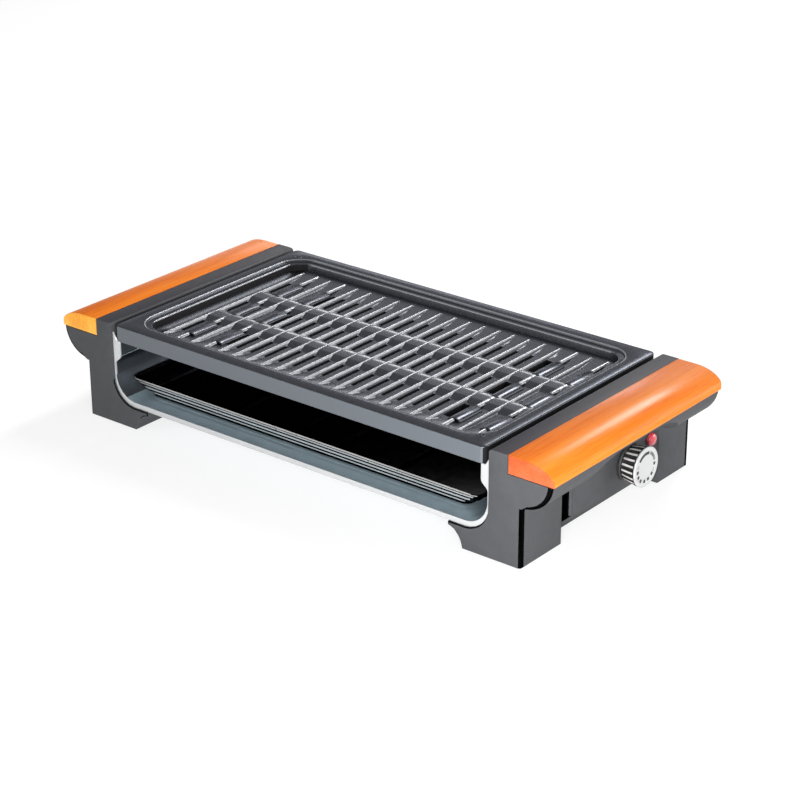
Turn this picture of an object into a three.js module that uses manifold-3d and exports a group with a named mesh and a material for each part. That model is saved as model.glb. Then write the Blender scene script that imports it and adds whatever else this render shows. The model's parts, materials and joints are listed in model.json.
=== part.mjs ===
// Electric table grill: a ribbed cast plate over a tubular heater, a drip tray that slides in a
// sheet metal pan, and two end housings with wooden handles, the right one with the controls.
// Millimetres. +Z is up, +X points to the end with the knob, -Y is the side the tray slides out of.
// The origin is on the table, under the middle of the grill.
import * as THREE from "three";
import { mergeVertices } from "three/addons/utils/BufferGeometryUtils.js";
import Module from "manifold-3d";

const wasm = await Module();
wasm.setup();

// Clearances that every fit uses.
const seatGap = 0.3;
const overrun = 2;

// Overall sizes.
const bodyDepth = 240;
const plateLength = 400;
const plateSideGap = 4.6;
const skirtHeight = 14.6;
const plateSeatHeight = 79.4;
const housingRise = 0.1;

// Grill plate.
const plateCornerRadius = 5;
const skirtThickness = 3.4;
const rimThickness = 3.2;
const rimWidth = 11.9;
const rimDepthWidth = 12.6;
const recessCornerRadius = 24;
const ledgeDrop = 2.2;
const ledgeWidth = 6;
const basinDepth = 13.3;
const basinWall = 3;
const floorThickness = 3;
const ribPitch = 16.1;
const ribHeight = 4.4;
const ribCrestWidth = 1.6;
const ribFootWidth = 4;
const ribEndGap = 4.4;
const ribEndTaper = 4;
const ribSideMargin = 13.4;
const saddleSpacing = 56.8;
const saddleWidth = 29;
const saddleHeight = 3.9;
const humpWidth = 12.6;
const humpHeight = 4.2;
const rodRadius = 2.3;
const rodLength = 25;
const rodLead = 3.7;
const rodEndLength = 29;
const slotWidth = 2.7;
const wideSlotWidth = 6.4;
const slotSaddleGap = 1.6;
const slotEndY = 70.5;
const rampEndHeight = 3.3;
const rampSideWidth = 11;
const markRadius = 3.6;
const markDepth = 0.7;
const markInset = 15.2;

// Saddle section: share of the half width, share of the height.
const saddleShares = [
  [1, 0],
  [0.9, 0.08],
  [0.8, 0.34],
  [0.7, 0.66],
  [0.58, 0.87],
  [0.38, 0.97],
  [0, 1],
];

// Tubular heater.
const tubeRadius = 3.25;
const tubeSides = 10;
const tubeClearance = 0.95;
const tubeAboveFloorUnderside = 0.4;
const tubeBendRadius = 12;
const tubeDrop = 6.4;
const tubeDropStart = 28;
const tubeDropLength = 18;
const tubeReach = 17;
const pinRadius = 1.3;
const pinLength = 7;

// Sheet metal pan.
const sheet = 1.2;
const lipThickness = 1.5;
const lipSetback = 1.6;
const lipHeight = 4.7;
const lipSideWidth = 1.7;
const panWallDrop = 18;
const tabWidth = 8.3;
const tabStraight = 11.5;
const tabFullDrop = 13.4;
const tabTongue = 6.8;
const tabTongueWidth = 3.8;
const cornerRadius = 24.3;

// Drip tray.
const trayBaseLength = 352.8;
const trayBaseDepth = 196;
const trayFlare = 7;
const trayEndFlare = 15.6;
const trayHeight = 15.5;
const trayRestShift = 7;
const trayCornerRadius = 9;
const trayWall = 1;
const trayBeadRadius = 1.6;
const trayBeadEndGap = 18;
const trayBeadPlaces = [23.5, 90];

// Tray wall section: share of the height, share of the flare, from the base up to the rim.
const trayShares = [
  [0, 0],
  [0.07, 0.14],
  [0.32, 0.24],
  [0.39, 0.46],
  [0.58, 0.52],
  [0.65, 0.72],
  [0.84, 0.78],
  [0.93, 1],
  [1, 1],
];

// End housings.
const housingWall = 2.5;
const housingTopWidth = 17.8;
const legOuterWidth = 31.3;
const topEdgeRadius = 3.2;
const ledgeBelowTop = 16.2;
const bellyReach = 27.7;
const bellyCentreRise = 1.8;
const panelTop = 52.3;
const fasciaInset = 1.4;
const archCrown = 75.4;
const archRun = 45;
const legGap = 0.6;
const legFloor = 3.2;
const frontLegDepth = 54.6;
const rearLegDepth = 46.5;
const footTipHeight = 20.2;
const footTipThickness = 3;
const footTipReach = 39.6;
const footInset = 25;
const footCurveIn = 2.1;
const footCurveHeight = 14.5;
const midUnderside = 13.6;
const midInnerInset = 16.6;
const legEdgeRadius = 2.6;
const coverThickness = 2.5;
const bossRadius = 4.5;
const bossInset = 7.9;
const bossHeight = 43;
const bossDepth = 14;
const bossFromLeg = 8.2;

// Heat shields.
const shieldThickness = 1.2;
const shieldEndGap = 11;
const shieldBelowScrews = 5.7;
const shieldTopGap = 4.6;

// Wooden handles.
const handleWidth = 43.6;
const handleThickness = 16;
const handleFlatWidth = 17.2;
const handleEdgeDrop = 15;
const handleEndRounding = 0.9;
const handleCornerRadius = 4;

// Foot pads.
const padRadius = 8;
const padThickness = 1.6;

// Controls.
const knobY = 29;
const knobZ = 37;
const knobBackRadius = 15.4;
const knobFrontRadius = 17.6;
const knobLength = 12.8;
const knobStandoff = 3.7;
const knobFlutes = 20;
const knobFluteDepth = 1.3;
const knobRound = 0.8;
const knobBoreRadius = 3.3;
const knobBoreDepth = 10.6;
const dialRadius = 17.4;
const dialThickness = 1.5;
const bezelRadius = 16.2;
const bezelThickness = 2.8;
const bezelHoleRadius = 9;
const shaftRadius = 3;
const shaftHoleRadius = 3.9;
const thermostatWidth = 32;
const thermostatHeight = 26;
const thermostatLength = 13.2;
const bracketThickness = 1.5;
const bracketWidth = 44;
const bladeLength = 6;
const bladeWidth = 6.3;
const bladeThickness = 0.8;
const lensFromKnob = 33;
const lensZ = 45;
const lensRadius = 5.8;
const lensHeight = 4.4;
const lensFlange = 0.9;
const lensStemRadius = 4.5;
const lensStemLength = 8.5;
const lensHoleRadius = 4.8;
const lampRadius = 3;
const lampLength = 16;
const recessWidth = 13.5;
const recessDepth = 13.5;
const recessBottom = 18.5;
const recessTopDrop = 2.5;
const fasciaEdgeRadius = 4;

// Fittings inside the right housing.
const terminalLength = 30;
const terminalWidth = 15;
const terminalHeight = 9;
const terminalPoleHeight = 4;
const terminalPoles = 3;
const terminalScrewRadius = 1.8;
const glandRadius = 6;
const glandFlangeRadius = 8.6;
const glandFlange = 2.4;
const glandSleeve = 8.2;
const glandTipRadius = 5;
const glandBoreRadius = 3.6;
const glandFromKnob = 3;
const fuseRadius = 3;
const fuseLength = 15;
const fuseAboveBosses = 1.5;
const fuseLeadRadius = 0.7;
const fuseLeadLength = 7;

// Ceramic bushings round the heater's ends.
const bushingRadius = 5;
const bushingFlangeRadius = 6.6;
const bushingFlange = 2.3;
const bushingLength = 6.5;

// Screws.
const screwRadius = 1.9;
const screwHeadRadius = 3.6;
const screwHeadHeight = 2.1;
const screwHoleRadius = 2.3;
const handleScrewLength = 13.4;
const handleScrewX = 20.6;
const handleScrewInset = 40;
const panScrewDrop = 9.4;
const panScrewInsets = [105, 35];
const panScrewLength = 9;
const coverScrewLength = 11;
const bracketScrewDrop = 7.8;

// Bracket under the heater's bend.
const strapWidth = 16;
const strapThickness = 1.5;
const strapHook = 2.4;
const strapPast = 6.8;
const strapFoot = 13;

// Places worked out from the sizes above.
const halfDepth = bodyDepth / 2;
const plateHalf = plateLength / 2;
const plateBottom = plateSeatHeight + seatGap;
const plateTop = plateBottom + skirtHeight;
const housingTop = plateTop + housingRise;
const housingInner = plateHalf + plateSideGap;
const legOuter = housingInner + legOuterWidth;
const handleNotch = housingInner + housingTopWidth;
const recessHalfX = plateHalf - rimWidth + seatGap;
const recessHalfY = halfDepth - rimDepthWidth;
const basinHalfX = recessHalfX - ledgeWidth;
const basinHalfY = recessHalfY - ledgeWidth;
const basinRadius = recessCornerRadius - ledgeWidth;
const ledgeTop = plateTop - ledgeDrop;
const floorTop = plateTop - basinDepth;
const floorUnderside = floorTop - floorThickness;
const saddleY = saddleSpacing / 2;
const ledgeHeight = housingTop - ledgeBelowTop;
const bellyCentreHeight = ledgeHeight + bellyCentreRise;
const bellyDrop = bellyCentreHeight - panelTop;
const tubeHeight = floorUnderside + tubeAboveFloorUnderside;
const tubeLowHeight = tubeHeight - tubeDrop;
const lipBottom = footTipHeight + seatGap;
const panFloor = lipBottom + lipHeight;
const panWallTop = plateSeatHeight - panWallDrop;
const tabStart = footTipHeight + cornerRadius + tabStraight;
const tabFull = plateSeatHeight - tabFullDrop;
const panScrewHeight = panWallTop - panScrewDrop;
const panScrewPlaces = panScrewInsets.map((inset) => halfDepth - inset);
const shieldBottom = panScrewHeight - shieldBelowScrews;
const handleScrewY = halfDepth - handleScrewInset;
const panSide = housingInner - seatGap - lipSideWidth;
const shieldFace = housingInner + seatGap;
const pocketFace = shieldFace + shieldThickness + seatGap;
const cavityInner = pocketFace + housingWall;
const wallInner = legOuter - housingWall;
const fasciaFace = legOuter - fasciaInset;
const panelInner = fasciaFace - housingWall;
const coverTop = midUnderside + coverThickness;
const bossTop = coverTop + bossHeight;
const recessTop = panelTop - recessTopDrop;
const lensY = knobY + lensFromKnob;
const glandY = knobY + glandFromKnob;
const fuseHeight = bossTop + fuseAboveBosses;
const cavityFoot = housingInner - midInnerInset + housingWall;
const legCavityBottom = legGap + legFloor;
const strapTop = tubeHeight - tubeRadius - seatGap;
const bracketScrewHeight = strapTop - bracketScrewDrop;
const ribCount = Math.round((2 * (basinHalfX - ribSideMargin)) / ribPitch) + 1;
const brokenRibs = [1, 3, ribCount - 3, ribCount - 1];

// Solids and meshes.

function solidOf(geometry) {
  const bare = geometry.clone();
  bare.deleteAttribute("normal");
  bare.deleteAttribute("uv");
  const merged = mergeVertices(bare, 1e-4);
  const source = merged.index.array;
  const kept = [];
  for (let i = 0; i < source.length; i += 3) {
    const [a, b, c] = [source[i], source[i + 1], source[i + 2]];
    if (a !== b && b !== c && c !== a) kept.push(a, b, c);
  }
  return new wasm.Manifold(
    new wasm.Mesh({
      numProp: 3,
      vertProperties: new Float32Array(merged.attributes.position.array),
      triVerts: new Uint32Array(kept),
    }),
  );
}

function joined(solids) {
  return solids.reduce((whole, next) => whole.add(next));
}

function cut(solid, tools) {
  return solid.subtract(joined(tools));
}

function geometryOf(solid) {
  const mesh = solid.getMesh();
  const stride = mesh.numProp;
  const position = new Float32Array(mesh.numVert * 3);
  for (let i = 0; i < mesh.numVert; i++) {
    position.set(mesh.vertProperties.subarray(i * stride, i * stride + 3), i * 3);
  }
  const geometry = new THREE.BufferGeometry();
  geometry.setAttribute("position", new THREE.BufferAttribute(position, 3));
  geometry.setIndex(new THREE.BufferAttribute(mesh.triVerts, 1));
  geometry.computeVertexNormals();
  return geometry;
}

function mirroredX(solid) {
  const geometry = geometryOf(solid);
  const position = geometry.attributes.position;
  for (let i = 0; i < position.count; i++) position.setX(i, -position.getX(i));
  const index = geometry.index.array;
  for (let i = 0; i < index.length; i += 3) {
    [index[i + 1], index[i + 2]] = [index[i + 2], index[i + 1]];
  }
  return solidOf(geometry);
}

function box(x0, x1, y0, y1, z0, z1) {
  const geometry = new THREE.BoxGeometry(Math.abs(x1 - x0), Math.abs(y1 - y0), Math.abs(z1 - z0));
  geometry.translate((x0 + x1) / 2, (y0 + y1) / 2, (z0 + z1) / 2);
  return solidOf(geometry);
}

function extruded(shape, length, curveSegments) {
  return new THREE.ExtrudeGeometry(shape, { depth: length, bevelEnabled: false, curveSegments });
}

// A profile drawn in X and Z, run from y0 to y1.
function alongY(shape, y0, y1, curveSegments = 8) {
  const geometry = extruded(shape, y1 - y0, curveSegments);
  geometry.rotateX(Math.PI / 2);
  geometry.translate(0, y1, 0);
  return solidOf(geometry);
}

// A profile drawn in Y and Z, run from x0 to x1.
function alongX(shape, x0, x1, curveSegments = 8) {
  const geometry = extruded(shape, x1 - x0, curveSegments);
  const axes = new THREE.Matrix4().makeBasis(
    new THREE.Vector3(0, 1, 0),
    new THREE.Vector3(0, 0, 1),
    new THREE.Vector3(1, 0, 0),
  );
  geometry.applyMatrix4(axes);
  geometry.translate(x0, 0, 0);
  return solidOf(geometry);
}

// A profile drawn in X and Y, run from z0 to z1.
function alongZ(shape, z0, z1, curveSegments = 5) {
  const geometry = extruded(shape, z1 - z0, curveSegments);
  geometry.translate(0, 0, z0);
  return solidOf(geometry);
}

function outline(points) {
  return new THREE.Shape(points.map(([u, v]) => new THREE.Vector2(u, v)));
}

function roundedRectangle(halfX, halfY, radius) {
  const shape = new THREE.Shape();
  shape.moveTo(halfX, -halfY + radius);
  shape.absarc(halfX - radius, halfY - radius, radius, 0, Math.PI / 2, false);
  shape.absarc(-halfX + radius, halfY - radius, radius, Math.PI / 2, Math.PI, false);
  shape.absarc(-halfX + radius, -halfY + radius, radius, Math.PI, 1.5 * Math.PI, false);
  shape.absarc(halfX - radius, -halfY + radius, radius, 1.5 * Math.PI, 2 * Math.PI, false);
  return shape;
}

function roundedBlock(halfX, halfY, radius, z0, z1, curveSegments = 5) {
  return alongZ(roundedRectangle(halfX, halfY, radius), z0, z1, curveSegments);
}

// Turns a solid that was revolved about Z so that its axis lies along X.
function axisToX(geometry) {
  return geometry.rotateY(Math.PI / 2);
}

// A revolved solid about +Z: the profile lists radius and height, and closes on itself.
function revolved(profile, sides) {
  const points = profile.map(([radius, height]) => new THREE.Vector2(radius, height));
  points.push(points[0].clone());
  const geometry = new THREE.LatheGeometry(points, sides);
  geometry.rotateX(Math.PI / 2);
  return geometry;
}

function turnedZ(profile, sides, x, y) {
  return oriented(revolved(profile, sides).translate(x, y, 0));
}

function turnedX(profile, sides, y, z) {
  return oriented(axisToX(revolved(profile, sides)).translate(0, y, z));
}

// Makes a solid of a closed geometry, and turns its faces out if its profile ran the other way.
function oriented(geometry) {
  const solid = solidOf(geometry);
  if (solid.volume() > 0) return solid;
  const flipped = geometry.clone();
  const index = flipped.index.array;
  for (let i = 0; i < index.length; i += 3) {
    [index[i + 1], index[i + 2]] = [index[i + 2], index[i + 1]];
  }
  return solidOf(flipped);
}

function discZ(radius, x, y, z0, z1, sides = 20) {
  return turnedZ([[0, z0], [radius, z0], [radius, z1], [0, z1]], sides, x, y);
}

function discX(radius, y, z, x0, x1, sides = 20) {
  return turnedX([[0, x0], [radius, x0], [radius, x1], [0, x1]], sides, y, z);
}

// A closed skin over rings of points that all have the same count, with a fan over each end.
function loft(rings) {
  const count = rings[0].length;
  const points = rings.flat();
  const index = [];
  for (let r = 0; r + 1 < rings.length; r++) {
    for (let i = 0; i < count; i++) {
      const a = r * count + i;
      const b = r * count + ((i + 1) % count);
      index.push(a, b, b + count, a, b + count, a + count);
    }
  }
  const ends = [rings[0], rings[rings.length - 1]];
  ends.forEach((ring, end) => {
    const centre = ring.reduce((sum, p) => sum.add(p), new THREE.Vector3()).divideScalar(count);
    const first = end === 0 ? 0 : (rings.length - 1) * count;
    points.push(centre);
    for (let i = 0; i < count; i++) {
      const a = first + i;
      const b = first + ((i + 1) % count);
      if (end === 0) index.push(b, a, points.length - 1);
      else index.push(a, b, points.length - 1);
    }
  });
  const geometry = new THREE.BufferGeometry().setFromPoints(points);
  geometry.setIndex(index);
  return oriented(geometry);
}

// A path through stations, with a ring of the tube at each one and square to the bend there.
class StationPath extends THREE.Curve {
  constructor(stations) {
    super();
    this.stations = stations;
  }
  getUtoTmapping(u) {
    return u;
  }
  getPoint(t, target = new THREE.Vector3()) {
    const place = t * (this.stations.length - 1);
    const before = Math.min(Math.floor(place), this.stations.length - 2);
    return target.lerpVectors(this.stations[before], this.stations[before + 1], place - before);
  }
  getTangent(t, target = new THREE.Vector3()) {
    const last = this.stations.length - 1;
    const at = Math.round(t * last);
    const here = this.stations[at];
    const came = here.clone().sub(this.stations[Math.max(at - 1, 0)]).normalize();
    const goes = this.stations[Math.min(at + 1, last)].clone().sub(here).normalize();
    return target.copy(came.add(goes).normalize());
  }
}

function tube(stations, radius, sides) {
  const section = new THREE.Shape();
  for (let i = 0; i < sides; i++) {
    const angle = (2 * Math.PI * i) / sides;
    const [u, v] = [radius * Math.cos(angle), radius * Math.sin(angle)];
    if (i === 0) section.moveTo(u, v);
    else section.lineTo(u, v);
  }
  section.closePath();
  const geometry = new THREE.ExtrudeGeometry(section, {
    extrudePath: new StationPath(stations),
    steps: stations.length - 1,
    bevelEnabled: false,
  });
  return oriented(new THREE.BufferGeometry().copy(mergeVertices(positionOnly(geometry), 1e-4)));
}

function positionOnly(geometry) {
  const bare = geometry.clone();
  bare.deleteAttribute("normal");
  bare.deleteAttribute("uv");
  return bare;
}

// A screw whose shank points along +Z from the seat of its head.
function screwUp(x, y, seat, length) {
  const round = screwHeadHeight / 3;
  const profile = [
    [0, seat - screwHeadHeight],
    [screwHeadRadius - round, seat - screwHeadHeight],
    [screwHeadRadius, seat - screwHeadHeight + round],
    [screwHeadRadius, seat],
    [screwRadius, seat],
    [screwRadius, seat + length - screwRadius],
    [0, seat + length],
  ];
  return turnedZ(profile, 8, x, y);
}

// The same screw, laid along +X.
function screwAcross(y, z, seat, length) {
  const round = screwHeadHeight / 3;
  const profile = [
    [0, seat - screwHeadHeight],
    [screwHeadRadius - round, seat - screwHeadHeight],
    [screwHeadRadius, seat - screwHeadHeight + round],
    [screwHeadRadius, seat],
    [screwRadius, seat],
    [screwRadius, seat + length - screwRadius],
    [0, seat + length],
  ];
  return turnedX(profile, 8, y, z);
}

// The grill plate.

function ribX(index) {
  return (index - (ribCount - 1) / 2) * ribPitch;
}

function ribRing(x, y, rise) {
  const base = floorTop - floorThickness / 2;
  const shoulder = floorTop + rise - ribCrestWidth / 3;
  return [
    new THREE.Vector3(x - ribFootWidth / 2, y, base),
    new THREE.Vector3(x + ribFootWidth / 2, y, base),
    new THREE.Vector3(x + ribCrestWidth / 2, y, shoulder),
    new THREE.Vector3(x + ribCrestWidth / 4, y, floorTop + rise),
    new THREE.Vector3(x - ribCrestWidth / 4, y, floorTop + rise),
    new THREE.Vector3(x - ribCrestWidth / 2, y, shoulder),
  ];
}

function fullRib(x) {
  const end = basinHalfY - ribEndGap;
  const low = ribHeight / 2;
  return loft([
    ribRing(x, -end, low),
    ribRing(x, -end + ribEndTaper, ribHeight),
    ribRing(x, end - ribEndTaper, ribHeight),
    ribRing(x, end, low),
  ]);
}

// A short round-nosed rod that stands in for a rib between two humps.
function rod(x, y0, y1) {
  const axis = floorTop + ribHeight - rodRadius;
  const web = box(
    x - rodRadius / 2, x + rodRadius / 2, y0 + rodRadius, y1 - rodRadius, floorUnderside + seatGap, axis,
  );
  const nose = rodRadius / 2;
  const profile = [
    [0, y0],
    [rodRadius - nose / 2, y0 + nose / 2],
    [rodRadius, y0 + nose],
    [rodRadius, y1 - nose],
    [rodRadius - nose / 2, y1 - nose / 2],
    [0, y1],
  ];
  const bar = oriented(revolved(profile, 10).rotateX(-Math.PI / 2).translate(x, 0, axis));
  return web.add(bar);
}

function hump(x, y0, y1) {
  const shape = new THREE.Shape();
  const base = floorTop - floorThickness / 2;
  shape.moveTo(x + humpWidth / 2, base);
  shape.absellipse(x, floorTop, humpWidth / 2, humpHeight, 0, Math.PI, false, 0);
  shape.lineTo(x - humpWidth / 2, base);
  return alongY(shape, y0, y1, 9);
}

// The places where a rib is cut up: rods cross the saddles and close both ends, humps lie between.
function rodSpans() {
  const end = basinHalfY - ribEndGap;
  const front = -saddleY - saddleWidth / 2 - rodLead;
  const rear = saddleY - saddleWidth / 2 - rodLead;
  return [
    [-end, -end + rodEndLength - overrun * 4],
    [front, front + rodLength],
    [rear, rear + rodLength],
    [end - rodEndLength, end],
  ];
}

function brokenRib(x) {
  const spans = rodSpans();
  const pieces = spans.map(([y0, y1]) => rod(x, y0, y1));
  for (let i = 0; i + 1 < spans.length; i++) pieces.push(hump(x, spans[i][1], spans[i + 1][0]));
  return joined(pieces);
}

function saddle(y, x0, x1) {
  const half = saddleWidth / 2;
  const base = floorTop - floorThickness / 2;
  const points = [];
  points.push([y - half, base]);
  saddleShares.forEach(([across, up]) => points.push([y - across * half, floorTop + up * saddleHeight]));
  const back = saddleShares.slice(0, -1).reverse();
  back.forEach(([across, up]) => points.push([y + across * half, floorTop + up * saddleHeight]));
  points.push([y + half, base]);
  return alongX(outline(points), x0, x1);
}

// The floor climbs to the wall at both ends of the ribs and beyond the first and last rib.
function floorRamps() {
  const base = floorTop - floorThickness / 2;
  const across = [
    [slotEndY, floorTop - seatGap],
    [basinHalfY + basinWall / 2, floorTop + rampEndHeight],
    [basinHalfY + basinWall / 2, base],
    [slotEndY, base],
  ];
  const along = [
    [basinHalfX - rampSideWidth, floorTop - seatGap],
    [basinHalfX + basinWall / 2, floorTop + rampEndHeight],
    [basinHalfX + basinWall / 2, base],
    [basinHalfX - rampSideWidth, base],
  ];
  const mirror = (points) => points.map(([u, v]) => [-u, v]);
  const reachX = basinHalfX + basinWall / 2;
  const reachY = basinHalfY + basinWall / 2;
  const inner = roundedBlock(reachX, reachY, basinRadius, base, ledgeTop);
  const ramps = joined([
    alongX(outline(across), -reachX, reachX),
    alongX(outline(mirror(across)), -reachX, reachX),
    alongY(outline(along), -reachY, reachY),
    alongY(outline(mirror(along)), -reachY, reachY),
  ]);
  return ramps.intersect(inner);
}

// Slots let the fat through. Each row of slots lies between the saddles or outside them.
function slotSpans() {
  const clear = saddleWidth / 2 + slotSaddleGap;
  return [
    [-slotEndY, -saddleY - clear],
    [-saddleY + clear, saddleY - clear],
    [saddleY + clear, slotEndY],
  ];
}

function slots() {
  const tools = [];
  const foot = ribFootWidth / 2;
  for (let i = 0; i + 1 < ribCount; i++) {
    const wide = i === ribCount - 4;
    const besideHump = i === brokenRibs[1];
    const none = i === 1 || i === 2 || i >= ribCount - 3;
    if (none) continue;
    const start = ribX(i) + (besideHump ? humpWidth / 2 : foot);
    const width = wide ? wideSlotWidth : slotWidth;
    slotSpans().forEach(([y0, y1]) => {
      tools.push(box(start, start + width, y0, y1, floorUnderside - overrun, floorTop + overrun));
    });
  }
  return tools;
}

function castMark(side) {
  const x = side * (plateHalf - markInset);
  const y = -side * (halfDepth - markInset - rimDepthWidth + rimWidth);
  const ring = [
    [markRadius / 3, plateTop - markDepth],
    [markRadius, plateTop - markDepth],
    [markRadius, plateTop + overrun],
    [markRadius / 3, plateTop + overrun],
  ];
  return turnedZ(ring, 14, x, y);
}

function grillPlate() {
  const skirtHalfX = plateHalf - skirtThickness;
  const skirtHalfY = halfDepth - skirtThickness;
  const outerRadius = basinRadius + basinWall;
  const block = roundedBlock(plateHalf, halfDepth, plateCornerRadius, plateBottom, plateTop, 3);
  const hollow = roundedBlock(
    skirtHalfX, skirtHalfY, plateCornerRadius / 2, plateBottom - overrun, plateTop - rimThickness, 3,
  );
  const basin = roundedBlock(
    basinHalfX + basinWall, basinHalfY + basinWall, outerRadius, floorUnderside, ledgeTop - basinWall / 2,
  );
  const ledge = roundedBlock(
    recessHalfX + basinWall, recessHalfY + basinWall, recessCornerRadius + basinWall,
    ledgeTop - basinWall, ledgeTop,
  );
  const recess = roundedBlock(
    recessHalfX, recessHalfY, recessCornerRadius, ledgeTop, plateTop + overrun,
  );
  const bowl = roundedBlock(basinHalfX, basinHalfY, basinRadius, floorTop, plateTop + overrun);
  const shell = cut(joined([block.subtract(hollow), basin, ledge]), [recess, bowl]);
  const ribs = [];
  for (let i = 0; i < ribCount; i++) {
    ribs.push(brokenRibs.includes(i) ? brokenRib(ribX(i)) : fullRib(ribX(i)));
  }
  const saddles = [-saddleY, saddleY].map((y) => saddle(y, ribX(0), basinHalfX + basinWall / 2));
  const whole = joined([shell, floorRamps(), ...saddles, ...ribs]);
  const channel = tube(heaterPath(), tubeRadius + tubeClearance, 12);
  return cut(whole, [...slots(), channel, castMark(1), castMark(-1)]);
}

// The heater.

// Stations of the heater's axis: in at the right end, along the front saddle, across under the
// second rib at the left, and back along the rear saddle.
function heaterPath() {
  const left = ribX(1);
  const dropStart = plateHalf - tubeDropStart;
  const front = [];
  front.push([housingInner + tubeReach, -saddleY, tubeLowHeight]);
  for (let i = 0; i <= 4; i++) {
    const share = i / 4;
    const ease = (1 - Math.cos(Math.PI * share)) / 2;
    front.push([dropStart + tubeDropLength * (1 - share), -saddleY, tubeLowHeight + tubeDrop * ease]);
  }
  for (let i = 0; i <= 5; i++) {
    const angle = ((i / 5) * Math.PI) / 2;
    front.push([
      left + tubeBendRadius * (1 - Math.sin(angle)),
      -saddleY + tubeBendRadius * (1 - Math.cos(angle)),
      tubeHeight,
    ]);
  }
  const rear = front.map(([x, y, z]) => [x, -y, z]).reverse();
  return [...front, ...rear].map(([x, y, z]) => new THREE.Vector3(x, y, z));
}

function heatingElement() {
  const body = tube(heaterPath(), tubeRadius, tubeSides);
  const end = housingInner + tubeReach;
  const pins = [-saddleY, saddleY].map((y) => {
    return discX(pinRadius, y, tubeLowHeight, end - pinLength, end + pinLength, 8);
  });
  return joined([body, ...pins]);
}

function elementBushing(y) {
  const bore = tubeRadius + seatGap;
  const flangeStart = housingInner - bushingFlange;
  const profile = [
    [bore, flangeStart],
    [bushingFlangeRadius, flangeStart],
    [bushingFlangeRadius, housingInner],
    [bushingRadius, housingInner],
    [bushingRadius, housingInner + bushingLength],
    [bore, housingInner + bushingLength],
  ];
  return turnedX(profile, 16, y, tubeLowHeight);
}

function bushingHole(y) {
  const from = housingInner - overrun;
  return discX(bushingRadius + seatGap, y, tubeLowHeight, from, cavityInner + overrun, 16);
}

// A strap on the left heat shield carries the bend of the heater.
function elementBracket() {
  const top = strapTop;
  const wall = -shieldFace + seatGap;
  const tip = ribX(1) + strapPast;
  const half = strapWidth / 2;
  const shelf = box(wall, tip, -half, half, top - strapThickness, top);
  const hook = box(tip - strapThickness, tip, -half, half, top - strapThickness, top + strapHook);
  const foot = box(wall, wall + strapThickness, -half, half, top - strapFoot, top);
  const hole = discX(screwHoleRadius, 0, bracketScrewHeight, wall - overrun, wall + strapThickness + overrun, 12);
  return cut(joined([shelf, hook, foot]), [hole]);
}

// The pan.

// The inside of the pan, or a face laid further out by an offset, up to a height.
function panProfile(offset, bottom, top) {
  const side = panSide + offset;
  const radius = cornerRadius - lipSideWidth - seatGap + offset;
  const shape = new THREE.Shape();
  shape.moveTo(side, top);
  shape.lineTo(-side, top);
  shape.absarc(-side + radius, bottom + radius, radius, Math.PI, 1.5 * Math.PI, false);
  shape.absarc(side - radius, bottom + radius, radius, 1.5 * Math.PI, 2 * Math.PI, false);
  return shape;
}

// One upper end of the lip, which widens to a tab that carries the plate's skirt.
function lipTab() {
  const outer = housingInner - seatGap;
  const inner = outer - tabWidth;
  const shape = new THREE.Shape();
  const middle = (tabStart + tabFull) / 2;
  shape.moveTo(outer, tabStart - overrun);
  shape.lineTo(outer, plateSeatHeight + tabTongue);
  shape.lineTo(outer - tabTongueWidth, plateSeatHeight);
  shape.lineTo(inner, plateSeatHeight);
  shape.lineTo(inner, tabFull);
  shape.bezierCurveTo(inner, middle, panSide, middle, panSide, tabStart);
  shape.lineTo(panSide, tabStart - overrun);
  return shape;
}

function reflectorPan() {
  const front = -halfDepth + lipSetback;
  const back = front + lipThickness;
  const sheetFaces = alongY(panProfile(sheet, panFloor - sheet, panWallTop), back, -back);
  const inside = alongY(
    panProfile(0, panFloor, panWallTop + overrun), back - overrun, -back - sheet,
  );
  const lipBlock = panProfile(lipSideWidth, lipBottom, tabStart);
  const lipInside = alongY(
    panProfile(0, panFloor, tabStart + overrun), front - overrun, back + overrun,
  );
  const lip = alongY(lipBlock, front, back).subtract(lipInside);
  const rearLip = alongY(lipBlock, -back, -front);
  const rearInside = alongY(panProfile(0, panFloor, tabStart + overrun), -back - overrun, -front + overrun);
  const tab = alongY(lipTab(), front, back);
  const tabs = [tab, mirroredX(tab)];
  const rearTab = alongY(lipTab(), -back, -front);
  tabs.push(rearTab, mirroredX(rearTab));
  const pan = joined([sheetFaces.subtract(inside), lip, rearLip.subtract(rearInside), ...tabs]);
  const holes = [];
  panScrewPlaces.forEach((y) => {
    [-1, 1].forEach((side) => {
      const from = side * (panSide - overrun);
      const to = side * (panSide + sheet + overrun);
      holes.push(discX(screwHoleRadius, y, panScrewHeight, Math.min(from, to), Math.max(from, to), 12));
    });
  });
  return cut(pan, holes);
}

// The drip tray, which rests a little off the middle of the pan.

function rectangleRing(halfX, halfY, radius, z, shift) {
  const ring = [];
  const corners = [[1, 1], [-1, 1], [-1, -1], [1, -1]];
  corners.forEach(([signX, signY], corner) => {
    for (let i = 0; i <= 5; i++) {
      const angle = ((corner + i / 5) * Math.PI) / 2;
      ring.push(new THREE.Vector3(
        signX * (halfX - radius) + radius * Math.cos(angle) - shift,
        signY * (halfY - radius) + radius * Math.sin(angle),
        z,
      ));
    }
  });
  return ring;
}

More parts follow.
